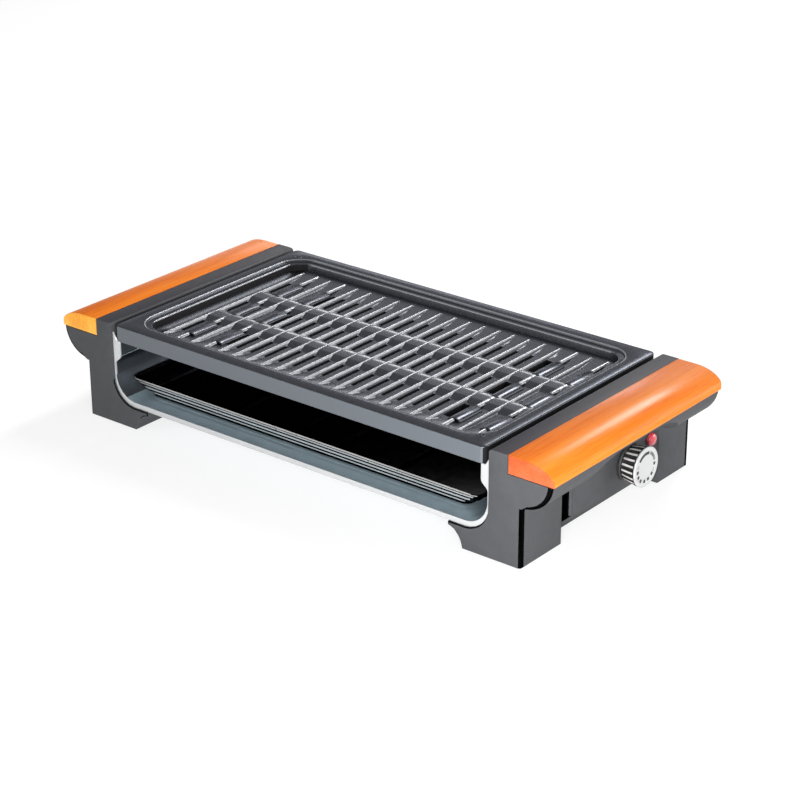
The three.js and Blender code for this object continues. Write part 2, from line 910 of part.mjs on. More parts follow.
function dripTray() {
  const base = panFloor + seatGap;
  const ringAt = (height, out, inward) => rectangleRing(
    trayBaseLength / 2 + out * trayEndFlare - inward,
    trayBaseDepth / 2 + out * trayFlare - inward,
    trayCornerRadius - inward,
    base + height,
    trayRestShift,
  );
  const outer = trayShares.map(([up, out]) => ringAt(up * trayHeight, out, 0));
  const inner = trayShares.map(([up, out]) => {
    const height = Math.min(up * trayHeight + trayWall, trayHeight);
    return ringAt(height, out, trayWall);
  });
  inner.pop();
  const shell = loft([...outer, ...inner.reverse()]);
  const floor = base + trayWall;
  const reach = trayBaseDepth / 2 - trayBeadEndGap;
  const beads = [];
  trayBeadPlaces.forEach((place) => {
    [-1, 1].forEach((side) => {
      const middle = side * place - trayRestShift;
      const shape = new THREE.Shape();
      shape.moveTo(middle + trayBeadRadius, floor - trayWall / 2);
      shape.absarc(middle, floor, trayBeadRadius, 0, Math.PI, false);
      shape.lineTo(middle - trayBeadRadius, floor - trayWall / 2);
      beads.push(alongY(shape, -reach, reach, 5));
    });
  });
  return joined([shell, ...beads]);
}

// The end housings, built as the right one.

function housingProfile() {
  const shape = new THREE.Shape();
  const tip = housingInner - footTipReach;
  const footStart = housingInner - footInset;
  const reach = bellyReach * Math.sqrt(1 - ((bellyCentreHeight - ledgeHeight) / bellyDrop) ** 2);
  const start = -Math.asin((bellyCentreHeight - ledgeHeight) / bellyDrop);
  shape.moveTo(housingInner, housingTop - topEdgeRadius);
  shape.absarc(housingInner + topEdgeRadius, housingTop - topEdgeRadius, topEdgeRadius, Math.PI, Math.PI / 2, true);
  shape.lineTo(handleNotch, housingTop);
  shape.lineTo(handleNotch, ledgeHeight);
  shape.lineTo(legOuter + reach, ledgeHeight);
  shape.absellipse(legOuter, bellyCentreHeight, bellyReach, bellyDrop, start, -Math.PI / 2, true, 0);
  shape.lineTo(legOuter, legGap);
  shape.lineTo(footStart, legGap);
  shape.quadraticCurveTo(footStart - footCurveIn, footCurveHeight, tip, footTipHeight - footTipThickness);
  shape.lineTo(tip, footTipHeight);
  shape.lineTo(housingInner - cornerRadius, footTipHeight);
  shape.absarc(housingInner - cornerRadius, footTipHeight + cornerRadius, cornerRadius, -Math.PI / 2, 0, false);
  return shape;
}

function cavityProfile() {
  const shape = new THREE.Shape();
  const centreX = housingInner - cornerRadius;
  const centreZ = footTipHeight + cornerRadius;
  const radius = cavityInner - centreX;
  const angle = Math.acos((cavityFoot - centreX) / radius);
  const bellyX = bellyReach - housingWall;
  const bellyZ = bellyDrop - housingWall;
  const under = ledgeHeight - housingWall;
  const start = -Math.asin((bellyCentreHeight - under) / bellyZ);
  shape.moveTo(cavityFoot, coverTop);
  shape.lineTo(cavityFoot, centreZ - radius * Math.sin(angle));
  shape.absarc(centreX, centreZ, radius, -angle, 0, false);
  shape.lineTo(cavityInner, housingTop - housingWall);
  shape.lineTo(handleNotch - housingWall, housingTop - housingWall);
  shape.lineTo(handleNotch - housingWall, under);
  shape.lineTo(legOuter + bellyX * Math.cos(start), under);
  shape.absellipse(legOuter, bellyCentreHeight, bellyX, bellyZ, start, -Math.PI / 2, true, 0);
  shape.lineTo(wallInner, bellyCentreHeight - bellyZ);
  shape.lineTo(wallInner, coverTop);
  return shape;
}

// What a rounded upright edge of a leg takes away, at the corner that points to sideY.
function legEdge(sideY) {
  const x = legOuter;
  const y = sideY * halfDepth;
  const r = legEdgeRadius;
  const shape = new THREE.Shape();
  shape.moveTo(x + overrun, y - sideY * r);
  shape.lineTo(x, y - sideY * r);
  if (sideY < 0) shape.absarc(x - r, y + r, r, 0, -Math.PI / 2, true);
  else shape.absarc(x - r, y - r, r, 0, Math.PI / 2, false);
  shape.lineTo(x - r, y + sideY * overrun);
  shape.lineTo(x + overrun, y + sideY * overrun);
  return alongZ(shape, legGap - overrun, panelTop, 4);
}

// What is left open between the legs: the panel stands back, and the grip has an arch under it.
// The shares place the arch's two steering points within its run and its rise.
const archShares = [
  [0.13, 0.68],
  [0.56, 1],
];

function archProfile(y0, y1) {
  const rise = archCrown - panelTop;
  const [[nearRun, nearRise], [farRun, farRise]] = archShares;
  const shape = new THREE.Shape();
  shape.moveTo(y0, -overrun);
  shape.lineTo(y0, panelTop);
  shape.bezierCurveTo(
    y0 + nearRun * archRun, panelTop + nearRise * rise,
    y0 + farRun * archRun, panelTop + farRise * rise,
    y0 + archRun, archCrown,
  );
  shape.lineTo(y1 - archRun, archCrown);
  shape.bezierCurveTo(
    y1 - farRun * archRun, panelTop + farRise * rise,
    y1 - nearRun * archRun, panelTop + nearRise * rise,
    y1, panelTop,
  );
  shape.lineTo(y1, -overrun);
  return shape;
}

function bossPlaces(rearDepth) {
  return [-halfDepth + frontLegDepth + bossFromLeg, halfDepth - rearDepth - bossFromLeg];
}

function padPlaces(rearDepth) {
  return [-halfDepth + frontLegDepth / 2, halfDepth - rearDepth / 2];
}

const padX = (housingInner - footInset + legOuter) / 2;
const bossX = cavityInner - housingWall + bossInset - bossRadius + housingWall / 2;
const handleScrewAt = handleNotch + handleScrewX;

function housingShell(rearDepth) {
  const y0 = -halfDepth + frontLegDepth;
  const y1 = halfDepth - rearDepth;
  const inside = halfDepth - housingWall;
  const midInner = housingInner - midInnerInset;
  const far = legOuter + bellyReach + overrun;
  const outer = alongY(housingProfile(), -halfDepth, halfDepth, 7);
  const between = box(housingInner - footTipReach - overrun, far, y0, y1, -overrun, midUnderside);
  const tipBetween = box(
    housingInner - footTipReach - overrun, midInner, y0, y1, -overrun, footTipHeight + cornerRadius / 2,
  );
  const closed = box(panelInner, far, y0 - housingWall, y1 + housingWall, -overrun, housingTop);
  const cavity = alongY(cavityProfile(), -inside, inside, 6).subtract(closed);
  const arch = alongX(archProfile(y0, y1), fasciaFace, far, 7);
  const legHollow = (from, to) => box(
    housingInner - footInset + housingWall + seatGap, wallInner, from, to, legCavityBottom, coverTop + seatGap,
  );
  const opening = box(
    cavityFoot, panelInner, y0 + housingWall, y1 - housingWall, midUnderside - overrun, coverTop + overrun,
  );
  const pocket = box(
    housingInner - overrun, pocketFace, -halfDepth + shieldEndGap, halfDepth - shieldEndGap,
    shieldBottom - seatGap, housingTop - shieldTopGap,
  );
  let shell = cut(outer, [
    between, tipBetween, cavity, opening, pocket, arch, legEdge(-1), legEdge(1),
    legHollow(-inside, y0 - housingWall), legHollow(y1 + housingWall, inside),
  ]);
  const bosses = bossPlaces(rearDepth).map((y) => discZ(bossRadius, bossX, y, coverTop + seatGap, bossTop, 16));
  shell = joined([shell, ...bosses]);
  const holes = [];
  bossPlaces(rearDepth).forEach((y) => {
    holes.push(discZ(screwHoleRadius, bossX, y, coverTop - overrun, coverTop + bossDepth, 12));
  });
  padPlaces(rearDepth).forEach((y) => {
    holes.push(discZ(padRadius + seatGap, padX, y, -overrun, padThickness + seatGap, 20));
  });
  [-handleScrewY, handleScrewY].forEach((y) => {
    holes.push(discZ(screwHoleRadius, handleScrewAt, y, ledgeHeight - housingWall - overrun, ledgeHeight + overrun, 12));
  });
  panScrewPlaces.forEach((y) => {
    holes.push(discX(screwHoleRadius, y, panScrewHeight, housingInner - overrun, cavityInner + overrun, 12));
  });
  return cut(shell, holes);
}

function leftHousing() {
  const shell = mirroredX(housingShell(frontLegDepth));
  const hole = discX(screwHoleRadius, 0, bracketScrewHeight, -cavityInner - overrun, -housingInner + overrun, 12);
  return cut(shell, [hole]);
}

// The tall pocket between the front leg and the control panel, whose panel edge is rounded.
function fasciaPocket() {
  const y0 = -halfDepth + frontLegDepth;
  const y1 = y0 + recessWidth;
  const r = fasciaEdgeRadius;
  const shape = new THREE.Shape();
  shape.moveTo(fasciaFace - recessDepth, y0);
  shape.lineTo(fasciaFace + overrun, y0);
  shape.lineTo(fasciaFace + overrun, y1 + r);
  shape.lineTo(fasciaFace, y1 + r);
  shape.absarc(fasciaFace - r, y1 + r, r, 0, -Math.PI / 2, true);
  shape.lineTo(fasciaFace - recessDepth, y1);
  return alongZ(shape, recessBottom, recessTop, 5);
}

function rightHousing() {
  const y0 = -halfDepth + frontLegDepth;
  const block = box(
    fasciaFace - recessDepth - housingWall, panelInner + housingWall / 2,
    y0 - housingWall, y0 + recessWidth + fasciaEdgeRadius + housingWall,
    coverTop + seatGap, panelTop + housingWall,
  );
  const through = [panelInner - overrun, fasciaFace + overrun];
  const tools = [
    fasciaPocket(),
    discX(shaftHoleRadius, knobY, knobZ, ...through, 20),
    discX(lensHoleRadius, lensY, lensZ, ...through, 16),
    bushingHole(-saddleY),
    bushingHole(saddleY),
  ];
  return cut(housingShell(rearLegDepth).add(block), tools);
}

function bottomCover(rearDepth) {
  const y0 = -halfDepth + frontLegDepth + housingWall + seatGap;
  const y1 = halfDepth - rearDepth - housingWall - seatGap;
  const plate = box(cavityFoot + seatGap, panelInner - seatGap, y0, y1, midUnderside, coverTop);
  const holes = bossPlaces(rearDepth).map((y) => {
    return discZ(screwHoleRadius, bossX, y, midUnderside - overrun, coverTop + overrun, 12);
  });
  return cut(plate, holes);
}

function rightCover() {
  const hole = discZ(glandRadius + seatGap, bossX, glandY, midUnderside - overrun, coverTop + overrun, 16);
  return bottomCover(rearLegDepth).subtract(hole);
}

function heatShield() {
  const top = housingTop - shieldTopGap - seatGap;
  const reach = halfDepth - shieldEndGap - seatGap;
  const plate = box(shieldFace, shieldFace + shieldThickness, -reach, reach, shieldBottom, top);
  const holes = panScrewPlaces.map((y) => {
    return discX(screwHoleRadius, y, panScrewHeight, shieldFace - overrun, pocketFace + overrun, 12);
  });
  return cut(plate, holes);
}

function rightShield() {
  return cut(heatShield(), [bushingHole(-saddleY), bushingHole(saddleY)]);
}

function leftShield() {
  const from = -pocketFace - overrun;
  const hole = discX(screwHoleRadius, 0, bracketScrewHeight, from, -shieldFace + overrun, 12);
  return cut(mirroredX(heatShield()), [hole]);
}

// A handle of wood on the outer edge of its housing.
function handle() {
  const inner = handleNotch + seatGap;
  const bottom = ledgeHeight + seatGap;
  const outer = inner + handleWidth;
  const flat = inner + handleFlatWidth;
  const top = bottom + handleThickness;
  const low = top - handleEdgeDrop;
  const shape = new THREE.Shape();
  shape.moveTo(inner, bottom);
  shape.lineTo(outer - handleEndRounding, bottom);
  shape.lineTo(outer, low);
  shape.absellipse(flat, low, outer - flat, handleEdgeDrop, 0, Math.PI / 2, false, 0);
  shape.lineTo(inner, top);
  const geometry = new THREE.ExtrudeGeometry(shape, {
    depth: bodyDepth - 2 * handleEndRounding,
    bevelEnabled: true,
    bevelThickness: handleEndRounding,
    bevelSize: handleEndRounding,
    bevelOffset: -handleEndRounding,
    bevelSegments: 2,
    curveSegments: 10,
  });
  geometry.rotateX(Math.PI / 2);
  geometry.translate(0, halfDepth - handleEndRounding, 0);
  const holes = [-handleScrewY, handleScrewY].map((y) => {
    const from = bottom - overrun;
    return discZ(screwHoleRadius, handleScrewAt, y, from, ledgeHeight - housingWall + handleScrewLength + seatGap, 12);
  });
  const r = handleCornerRadius;
  const plan = new THREE.Shape();
  plan.moveTo(inner - overrun, -halfDepth);
  plan.lineTo(outer - r, -halfDepth);
  plan.absarc(outer - r, -halfDepth + r, r, -Math.PI / 2, 0, false);
  plan.lineTo(outer, halfDepth - r);
  plan.absarc(outer - r, halfDepth - r, r, 0, Math.PI / 2, false);
  plan.lineTo(inner - overrun, halfDepth);
  const rounded = solidOf(geometry).intersect(alongZ(plan, bottom - overrun, top + overrun, 5));
  return cut(rounded, holes);
}

function handleScrew(y) {
  return screwUp(handleScrewAt, y, ledgeHeight - housingWall - seatGap, handleScrewLength);
}

function coverScrew(y) {
  return screwUp(bossX, y, midUnderside - seatGap, coverScrewLength);
}

function panScrew(y) {
  return screwAcross(y, panScrewHeight, panSide - seatGap, panScrewLength);
}

function bracketScrew() {
  const seat = shieldFace - 2 * seatGap - strapThickness;
  return mirroredX(screwAcross(0, bracketScrewHeight, seat, panScrewLength));
}

function footPad(y) {
  const edge = padThickness / 3;
  return turnedZ([
    [0, 0],
    [padRadius - edge, 0],
    [padRadius, edge],
    [padRadius, padThickness],
    [0, padThickness],
  ], 20, padX, y);
}

// The controls.

function fluteRing(radius, x) {
  const ring = [];
  const steps = 4;
  for (let i = 0; i < knobFlutes * steps; i++) {
    const angle = (2 * Math.PI * i) / (knobFlutes * steps);
    const deep = i % steps === 0 || i % steps === 3 ? knobFluteDepth : 0;
    const r = radius - deep;
    ring.push(new THREE.Vector3(x, knobY + r * Math.cos(angle), knobZ + r * Math.sin(angle)));
  }
  return ring;
}

function controlKnob() {
  const back = fasciaFace + knobStandoff;
  const front = back + knobLength;
  const body = loft([
    fluteRing(knobBackRadius, back),
    fluteRing(knobFrontRadius, front - knobRound),
    fluteRing(knobFrontRadius - knobRound, front),
  ]);
  const bore = discX(knobBoreRadius, knobY, knobZ, back - overrun, back + knobBoreDepth, 16);
  return body.subtract(bore);
}

function knobDial() {
  const back = fasciaFace + knobStandoff + knobLength + seatGap;
  const round = dialThickness / 3;
  return turnedX([
    [0, back],
    [dialRadius, back],
    [dialRadius, back + dialThickness - round],
    [dialRadius - round, back + dialThickness],
    [0, back + dialThickness],
  ], 36, knobY, knobZ);
}

function knobBezel() {
  const back = fasciaFace + seatGap;
  const round = bezelThickness / 3;
  return turnedX([
    [bezelHoleRadius, back],
    [bezelRadius, back],
    [bezelRadius, back + bezelThickness - round],
    [bezelRadius - round, back + bezelThickness],
    [bezelHoleRadius, back + bezelThickness],
  ], 32, knobY, knobZ);
}

const thermostatFront = panelInner - 2 * seatGap - bracketThickness;

function thermostatShaft() {
  const start = thermostatFront + seatGap;
  const end = fasciaFace + knobStandoff + knobBoreDepth - seatGap;
  const chamfer = shaftRadius / 6;
  return turnedX([
    [0, start],
    [shaftRadius, start],
    [shaftRadius, end - chamfer],
    [shaftRadius - chamfer, end],
    [0, end],
  ], 16, knobY, knobZ);
}

function thermostatBody() {
  const back = thermostatFront - thermostatLength;
  const halfWidth = thermostatWidth / 2;
  const halfHeight = thermostatHeight / 2;
  const body = box(
    back, thermostatFront, knobY - halfWidth, knobY + halfWidth, knobZ - halfHeight, knobZ + halfHeight,
  );
  const blades = [-1, 1].map((side) => {
    const y = knobY + (side * thermostatWidth) / 4;
    const z = knobZ - halfHeight / 2;
    return box(
      back - bladeLength, back + bladeThickness, y - bladeWidth / 2, y + bladeWidth / 2, z, z + bladeThickness,
    );
  });
  return joined([body, ...blades]);
}

function thermostatBracket() {
  const back = thermostatFront + seatGap;
  const halfHeight = thermostatHeight / 2;
  const plate = box(
    back, back + bracketThickness, knobY - bracketWidth / 2, knobY + bracketWidth / 2,
    knobZ - halfHeight, knobZ + halfHeight,
  );
  const hole = discX(shaftHoleRadius, knobY, knobZ, back - overrun, back + bracketThickness + overrun, 16);
  return plate.subtract(hole);
}

function indicatorLens() {
  const face = fasciaFace + seatGap;
  const back = fasciaFace - lensStemLength;
  const bore = lampRadius + seatGap;
  const dome = face + lensFlange;
  const profile = [
    [bore, back],
    [lensStemRadius, back],
    [lensStemRadius, face],
    [lensRadius, face],
    [lensRadius, dome],
  ];
  for (let i = 1; i <= 5; i++) {
    const angle = ((i / 5) * Math.PI) / 2;
    profile.push([lensRadius * Math.cos(angle), dome + (lensHeight - lensFlange) * Math.sin(angle)]);
  }
  profile.push([0, fasciaFace - seatGap]);
  profile.push([bore, fasciaFace - seatGap]);
  return turnedX(profile, 20, lensY, lensZ);
}

function indicatorLamp() {
  const front = fasciaFace - 2 * seatGap;
  const nose = lampRadius / 2;
  return turnedX([
    [0, front - lampLength],
    [lampRadius, front - lampLength],
    [lampRadius, front - nose],
    [lampRadius - nose, front],
    [0, front],
  ], 14, lensY, lensZ);
}

// Fittings inside the right housing.

function terminalBlock() {
  const bottom = coverTop + seatGap;
  const x0 = bossX - terminalWidth / 2;
  const y0 = -halfDepth + frontLegDepth + recessWidth + fasciaEdgeRadius + housingWall + overrun;
  const top = bottom + terminalHeight;
  const base = box(x0, x0 + terminalWidth, y0, y0 + terminalLength, bottom, top);
  const pitch = terminalLength / terminalPoles;
  const pieces = [base];
  const holes = [];
  for (let i = 0; i < terminalPoles; i++) {
    const y = y0 + pitch * (i + 1 / 2);
    pieces.push(box(
      x0 + terminalWidth / 6, x0 + (5 * terminalWidth) / 6, y - pitch / 3, y + pitch / 3,
      top - seatGap, top + terminalPoleHeight,
    ));
    holes.push(discZ(terminalScrewRadius, bossX, y, top - terminalPoleHeight, top + terminalPoleHeight + overrun, 10));
  }
  return cut(joined(pieces), holes);
}

function cordGland() {
  const seat = coverTop + seatGap;
  return turnedZ([
    [glandBoreRadius, midUnderside - glandSleeve],
    [glandTipRadius, midUnderside - glandSleeve],
    [glandRadius, midUnderside - glandSleeve / 3],
    [glandRadius, seat],
    [glandFlangeRadius, seat],
    [glandFlangeRadius, seat + glandFlange],
    [glandBoreRadius, seat + glandFlange],
  ], 20, bossX, glandY);
}

function thermalFuse() {
  const x = cavityInner + seatGap + fuseRadius;
  const half = fuseLength / 2;
  const lead = half + fuseLeadLength;
  const profile = [
    [0, -lead],
    [fuseLeadRadius, -lead],
    [fuseLeadRadius, -half],
    [fuseRadius, -half],
    [fuseRadius, half],
    [fuseLeadRadius, half],
    [fuseLeadRadius, lead],
    [0, lead],
  ];
  return oriented(revolved(profile, 12).rotateX(Math.PI / 2).translate(x, 0, fuseHeight));
}

// Finishes.
const finishes = {
  plate: { color: 0x2b2d30, roughness: 0.45, metalness: 0.4 },
  galvanised: { color: 0x8fa3ad, roughness: 0.35, metalness: 0.9 },
  steel: { color: 0xb5b9bd, roughness: 0.35, metalness: 0.9 },
  enamel: { color: 0x101114, roughness: 0.2, metalness: 0.1 },
  housing: { color: 0x4a4c51, roughness: 0.5, metalness: 0 },
  wood: { color: 0xf08c35, roughness: 0.4, metalness: 0 },
  rubber: { color: 0x1b1b1b, roughness: 0.9, metalness: 0 },
  knob: { color: 0x2a2a2c, roughness: 0.4, metalness: 0 },
  dial: { color: 0xf4f4f2, roughness: 0.4, metalness: 0 },
  lens: { color: 0xd82430, roughness: 0.15, metalness: 0 },
  ceramic: { color: 0xe8e4da, roughness: 0.6, metalness: 0 },
};

const grill = new THREE.Group();

function addPiece(name, solid, finish) {
  const material = new THREE.MeshStandardMaterial(finishes[finish]);
  const mesh = new THREE.Mesh(geometryOf(solid), material);
  mesh.name = name;
  grill.add(mesh);
}

function addPair(name, solid, finish) {
  addPiece("right_" + name, solid, finish);
  addPiece("left_" + name, mirroredX(solid), finish);
}

addPiece("grill_plate", grillPlate(), "plate");
addPiece("drip_tray", dripTray(), "enamel");
addPiece("reflector_pan", reflectorPan(), "galvanised");
addPiece("right_heat_shield", rightShield(), "galvanised");
addPiece("left_heat_shield", leftShield(), "galvanised");
addPiece("heating_element", heatingElement(), "steel");
addPiece("element_bracket", elementBracket(), "steel");
addPiece("element_bracket_screw", bracketScrew(), "steel");
addPiece("element_bushing_front", elementBushing(-saddleY), "ceramic");
addPiece("element_bushing_rear", elementBushing(saddleY), "ceramic");

addPiece("right_housing", rightHousing(), "housing");
addPiece("left_housing", leftHousing(), "housing");
addPiece("right_bottom_cover", rightCover(), "housing");
addPiece("left_bottom_cover", mirroredX(bottomCover(frontLegDepth)), "housing");
addPair("handle", handle(), "wood");
addPair("handle_screw_front", handleScrew(-handleScrewY), "steel");
addPair("handle_screw_rear", handleScrew(handleScrewY), "steel");
addPair("pan_screw_front", panScrew(panScrewPlaces[0]), "steel");
addPair("pan_screw_rear", panScrew(panScrewPlaces[1]), "steel");

const [rightFrontBoss, rightRearBoss] = bossPlaces(rearLegDepth);
const [leftFrontBoss, leftRearBoss] = bossPlaces(frontLegDepth);
addPiece("right_cover_screw_front", coverScrew(rightFrontBoss), "steel");
addPiece("right_cover_screw_rear", coverScrew(rightRearBoss), "steel");
addPiece("left_cover_screw_front", mirroredX(coverScrew(leftFrontBoss)), "steel");
addPiece("left_cover_screw_rear", mirroredX(coverScrew(leftRearBoss)), "steel");

const [rightFrontPad, rightRearPad] = padPlaces(rearLegDepth);
const [leftFrontPad, leftRearPad] = padPlaces(frontLegDepth);
addPiece("right_front_foot_pad", footPad(rightFrontPad), "rubber");
addPiece("right_rear_foot_pad", footPad(rightRearPad), "rubber");
addPiece("left_front_foot_pad", mirroredX(footPad(leftFrontPad)), "rubber");
addPiece("left_rear_foot_pad", mirroredX(footPad(leftRearPad)), "rubber");

addPiece("control_knob", controlKnob(), "knob");
addPiece("knob_dial", knobDial(), "dial");
addPiece("knob_bezel", knobBezel(), "knob");
addPiece("thermostat_shaft", thermostatShaft(), "steel");
addPiece("thermostat_body", thermostatBody(), "ceramic");
addPiece("thermostat_bracket", thermostatBracket(), "steel");
addPiece("indicator_lens", indicatorLens(), "lens");
addPiece("indicator_lamp", indicatorLamp(), "ceramic");
addPiece("terminal_block", terminalBlock(), "ceramic");
addPiece("cord_gland", cordGland(), "rubber");
addPiece("thermal_fuse", thermalFuse(), "ceramic");

export default grill;
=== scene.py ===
import json
import math

import bmesh
import bpy
from mathutils import Matrix, Vector


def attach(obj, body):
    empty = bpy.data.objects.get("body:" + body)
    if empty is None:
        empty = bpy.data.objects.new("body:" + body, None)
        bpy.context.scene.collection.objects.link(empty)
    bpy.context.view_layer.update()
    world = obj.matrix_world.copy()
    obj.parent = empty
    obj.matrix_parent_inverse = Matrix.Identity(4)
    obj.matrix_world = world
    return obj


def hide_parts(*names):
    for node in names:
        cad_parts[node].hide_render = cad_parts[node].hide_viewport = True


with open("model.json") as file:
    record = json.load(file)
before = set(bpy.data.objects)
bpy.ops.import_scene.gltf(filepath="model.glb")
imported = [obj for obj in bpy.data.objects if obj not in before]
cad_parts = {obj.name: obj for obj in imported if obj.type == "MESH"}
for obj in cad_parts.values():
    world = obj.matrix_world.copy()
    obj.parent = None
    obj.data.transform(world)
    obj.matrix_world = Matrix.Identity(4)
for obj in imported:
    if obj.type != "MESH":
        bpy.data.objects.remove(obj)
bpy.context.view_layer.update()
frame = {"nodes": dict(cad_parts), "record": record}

nodes = frame["nodes"]
slot_of = {part["node"]: part["material_slot"] for part in frame["record"]["subparts"]}

# Lengths are in millimetres with +Z up, and MM turns them into metres.
MM = 0.001
SAME_POINT = 0.002 * MM
NO_GAP = 0.0005 * MM
SAME_PLANE = math.radians(0.6)
BAND_ANGLE = math.radians(60)
EDGE_ANGLE = math.radians(28)
SHARP_ANGLE = math.radians(30)
BROAD_FACE = 7.0 * MM


# ---------------------------------------------------------------- mesh helpers

def new_object(name, points, faces, scale=MM):
    mesh = bpy.data.meshes.new(name)
    mesh.from_pydata([tuple(c * scale for c in p) for p in points], [], faces)
    mesh.validate()
    mesh.update()
    obj = bpy.data.objects.new(name, mesh)
    bpy.context.scene.collection.objects.link(obj)
    return obj


def smooth(obj, angle=35):
    for polygon in obj.data.polygons:
        polygon.use_smooth = True
    obj.data.set_sharp_from_angle(angle=math.radians(angle))
    obj.data.update()


def ring(half_x, half_y, radius, z, steps=8, shift=0.0):
    points = []
    for corner, (sx, sy) in enumerate(((1, 1), (-1, 1), (-1, -1), (1, -1))):
        for i in range(steps + 1):
            a = (corner + i / steps) * math.pi / 2
            points.append((sx * (half_x - radius) + radius * math.cos(a) + shift,
                           sy * (half_y - radius) + radius * math.sin(a), z))
    return points


def skin(rings, closed=False):
    count = len(rings[0])
    faces = []
    last = len(rings) if closed else len(rings) - 1
    for r in range(last):
        for i in range(count):
            a = r * count + i
            b = r * count + (i + 1) % count
            n = (r + 1) % len(rings) * count
            faces.append((a, b, n + (i + 1) % count, n + i))
    return [p for one in rings for p in one], faces


def merged(obj, distance=0.01 * MM):
    bm = bmesh.new()
    bm.from_mesh(obj.data)
    bmesh.ops.remove_doubles(bm, verts=bm.verts, dist=distance)
    bmesh.ops.recalc_face_normals(bm, faces=bm.faces)
    bm.to_mesh(obj.data)
    bm.free()
    return obj


def round_bands(bm, band):
    """Rounds the edges that band picks, each by its own width and in its own material."""
    picked = {edge: band(edge) for edge in bm.edges
              if len(edge.link_faces) == 2 and edge.is_convex and edge.calc_face_angle(0.0) > BAND_ANGLE}
    for kind in sorted(kind for kind in set(picked.values()) if kind):
        width, material = kind
        chain = [edge for edge, found in picked.items() if edge.is_valid and found == kind]
        bmesh.ops.bevel(bm, geom=chain, offset=width * MM, offset_type="OFFSET", segments=4,
                        profile=0.5, affect="EDGES", clamp_overlap=False, material=material)
    bm.normal_update()


def round_edges(bm, width, segments):
    """Rounds the outer edges that no band has taken and that have room for it."""
    chosen = []
    for edge in bm.edges:
        if len(edge.link_faces) != 2 or not edge.is_convex or edge.calc_face_angle(0.0) < EDGE_ANGLE:
            continue
        if any(face.material_index for face in edge.link_faces):
            continue
        length = max(edge.calc_length(), 1e-6)
        if all(face.calc_area() / length > 1.5 * width for face in edge.link_faces):
            chosen.append(edge)
    if chosen:
        bmesh.ops.bevel(bm, geom=chosen, offset=width, offset_type="OFFSET", segments=segments,
                        profile=0.5, affect="EDGES", clamp_overlap=True, harden_normals=False)


def softened(node, width, segments=2, band=None):
    """A copy of a CAD node with its outer edges rounded. Where band gives an edge a width of its
    own, it also gives the rounding's material."""
    mesh = nodes[node].data.copy()
    mesh.name = node + "_form"
    obj = bpy.data.objects.new(node + "_form", mesh)
    bpy.context.scene.collection.objects.link(obj)
    bm = bmesh.new()
    bm.from_mesh(mesh)
    bmesh.ops.remove_doubles(bm, verts=bm.verts, dist=SAME_POINT)
    bmesh.ops.dissolve_limit(bm, angle_limit=SAME_PLANE, verts=bm.verts, edges=bm.edges)
    bm.normal_update()
    if band:
        round_bands(bm, band)
    round_edges(bm, width * MM, segments)
    for face in bm.faces:
        face.smooth = 2 * face.calc_area() / face.calc_perimeter() < BROAD_FACE
    bmesh.ops.triangulate(bm, faces=[face for face in bm.faces if len(face.verts) > 4])
    bm.to_mesh(mesh)
    bm.free()
    mesh.set_sharp_from_angle(angle=SHARP_ANGLE)
    return obj


# ---------------------------------------------------------------- material helpers

class Maker:
    """Builds one node-based material."""

    def __init__(self, name, color, roughness=0.5, metallic=0.0, specular=0.5, coat=0.0):
        self.mat = bpy.data.materials.new(name)
        self.mat.use_nodes = True
        self.tree = self.mat.node_tree
        self.bsdf = self.tree.nodes["Principled BSDF"]
        self.bsdf.inputs["Base Color"].default_value = color
        self.bsdf.inputs["Roughness"].default_value = roughness
        self.bsdf.inputs["Metallic"].default_value = metallic
        self.bsdf.inputs["Specular IOR Level"].default_value = specular
        self.bsdf.inputs["Coat Weight"].default_value = coat
        self.bsdf.inputs["Coat Roughness"].default_value = 0.12
        self.coords = self.tree.nodes.new("ShaderNodeTexCoord").outputs["Object"]

    def node(self, kind):
        return self.tree.nodes.new(kind)

    def link(self, out, into):
        self.tree.links.new(out, into)

    def mapped(self, scale):
        mapping = self.node("ShaderNodeMapping")
        mapping.inputs["Scale"].default_value = scale
        self.link(self.coords, mapping.inputs["Vector"])
        return mapping.outputs["Vector"]

    def noise(self, scale, detail=3.0, rough=0.55, stretch=None):
        made = self.node("ShaderNodeTexNoise")
        made.inputs["Scale"].default_value = scale
        made.inputs["Detail"].default_value = detail
        made.inputs["Roughness"].default_value = rough
        self.link(self.mapped(stretch) if stretch else self.coords, made.inputs["Vector"])
        return made.outputs["Fac"]

    def ramp(self, fac, stops):
        made = self.node("ShaderNodeValToRGB")
        elements = made.color_ramp.elements
        while len(elements) < len(stops):
            elements.new(0.5)
        for element, (place, color) in zip(elements, stops):
            element.position = place
            element.color = color
        self.link(fac, made.inputs["Fac"])
        return made.outputs["Color"]

    def remap(self, value, low, high, to_low, to_high):
        made = self.node("ShaderNodeMapRange")
        made.inputs["From Min"].default_value = low
        made.inputs["From Max"].default_value = high
        made.inputs["To Min"].default_value = to_low
        made.inputs["To Max"].default_value = to_high
        self.link(value, made.inputs["Value"])
        return made.outputs["Result"]

    def mix(self, fac, a, b):
        made = self.node("ShaderNodeMix")
        made.data_type = "RGBA"
        for socket, value in ((made.inputs[0], fac), (made.inputs[6], a), (made.inputs[7], b)):
            if hasattr(value, "is_output"):
                self.link(value, socket)
            else:
                socket.default_value = value
        return made.outputs[2]

    def color(self, out):
        self.link(out, self.bsdf.inputs["Base Color"])
        return self

    def roughness(self, out):
        self.link(out, self.bsdf.inputs["Roughness"])
        return self

    def bump(self, height, distance, strength=1.0):
        made = self.node("ShaderNodeBump")
        made.inputs["Distance"].default_value = distance
        made.inputs["Strength"].default_value = strength
        self.link(height, made.inputs["Height"])
        self.link(made.outputs["Normal"], self.bsdf.inputs["Normal"])
        return self


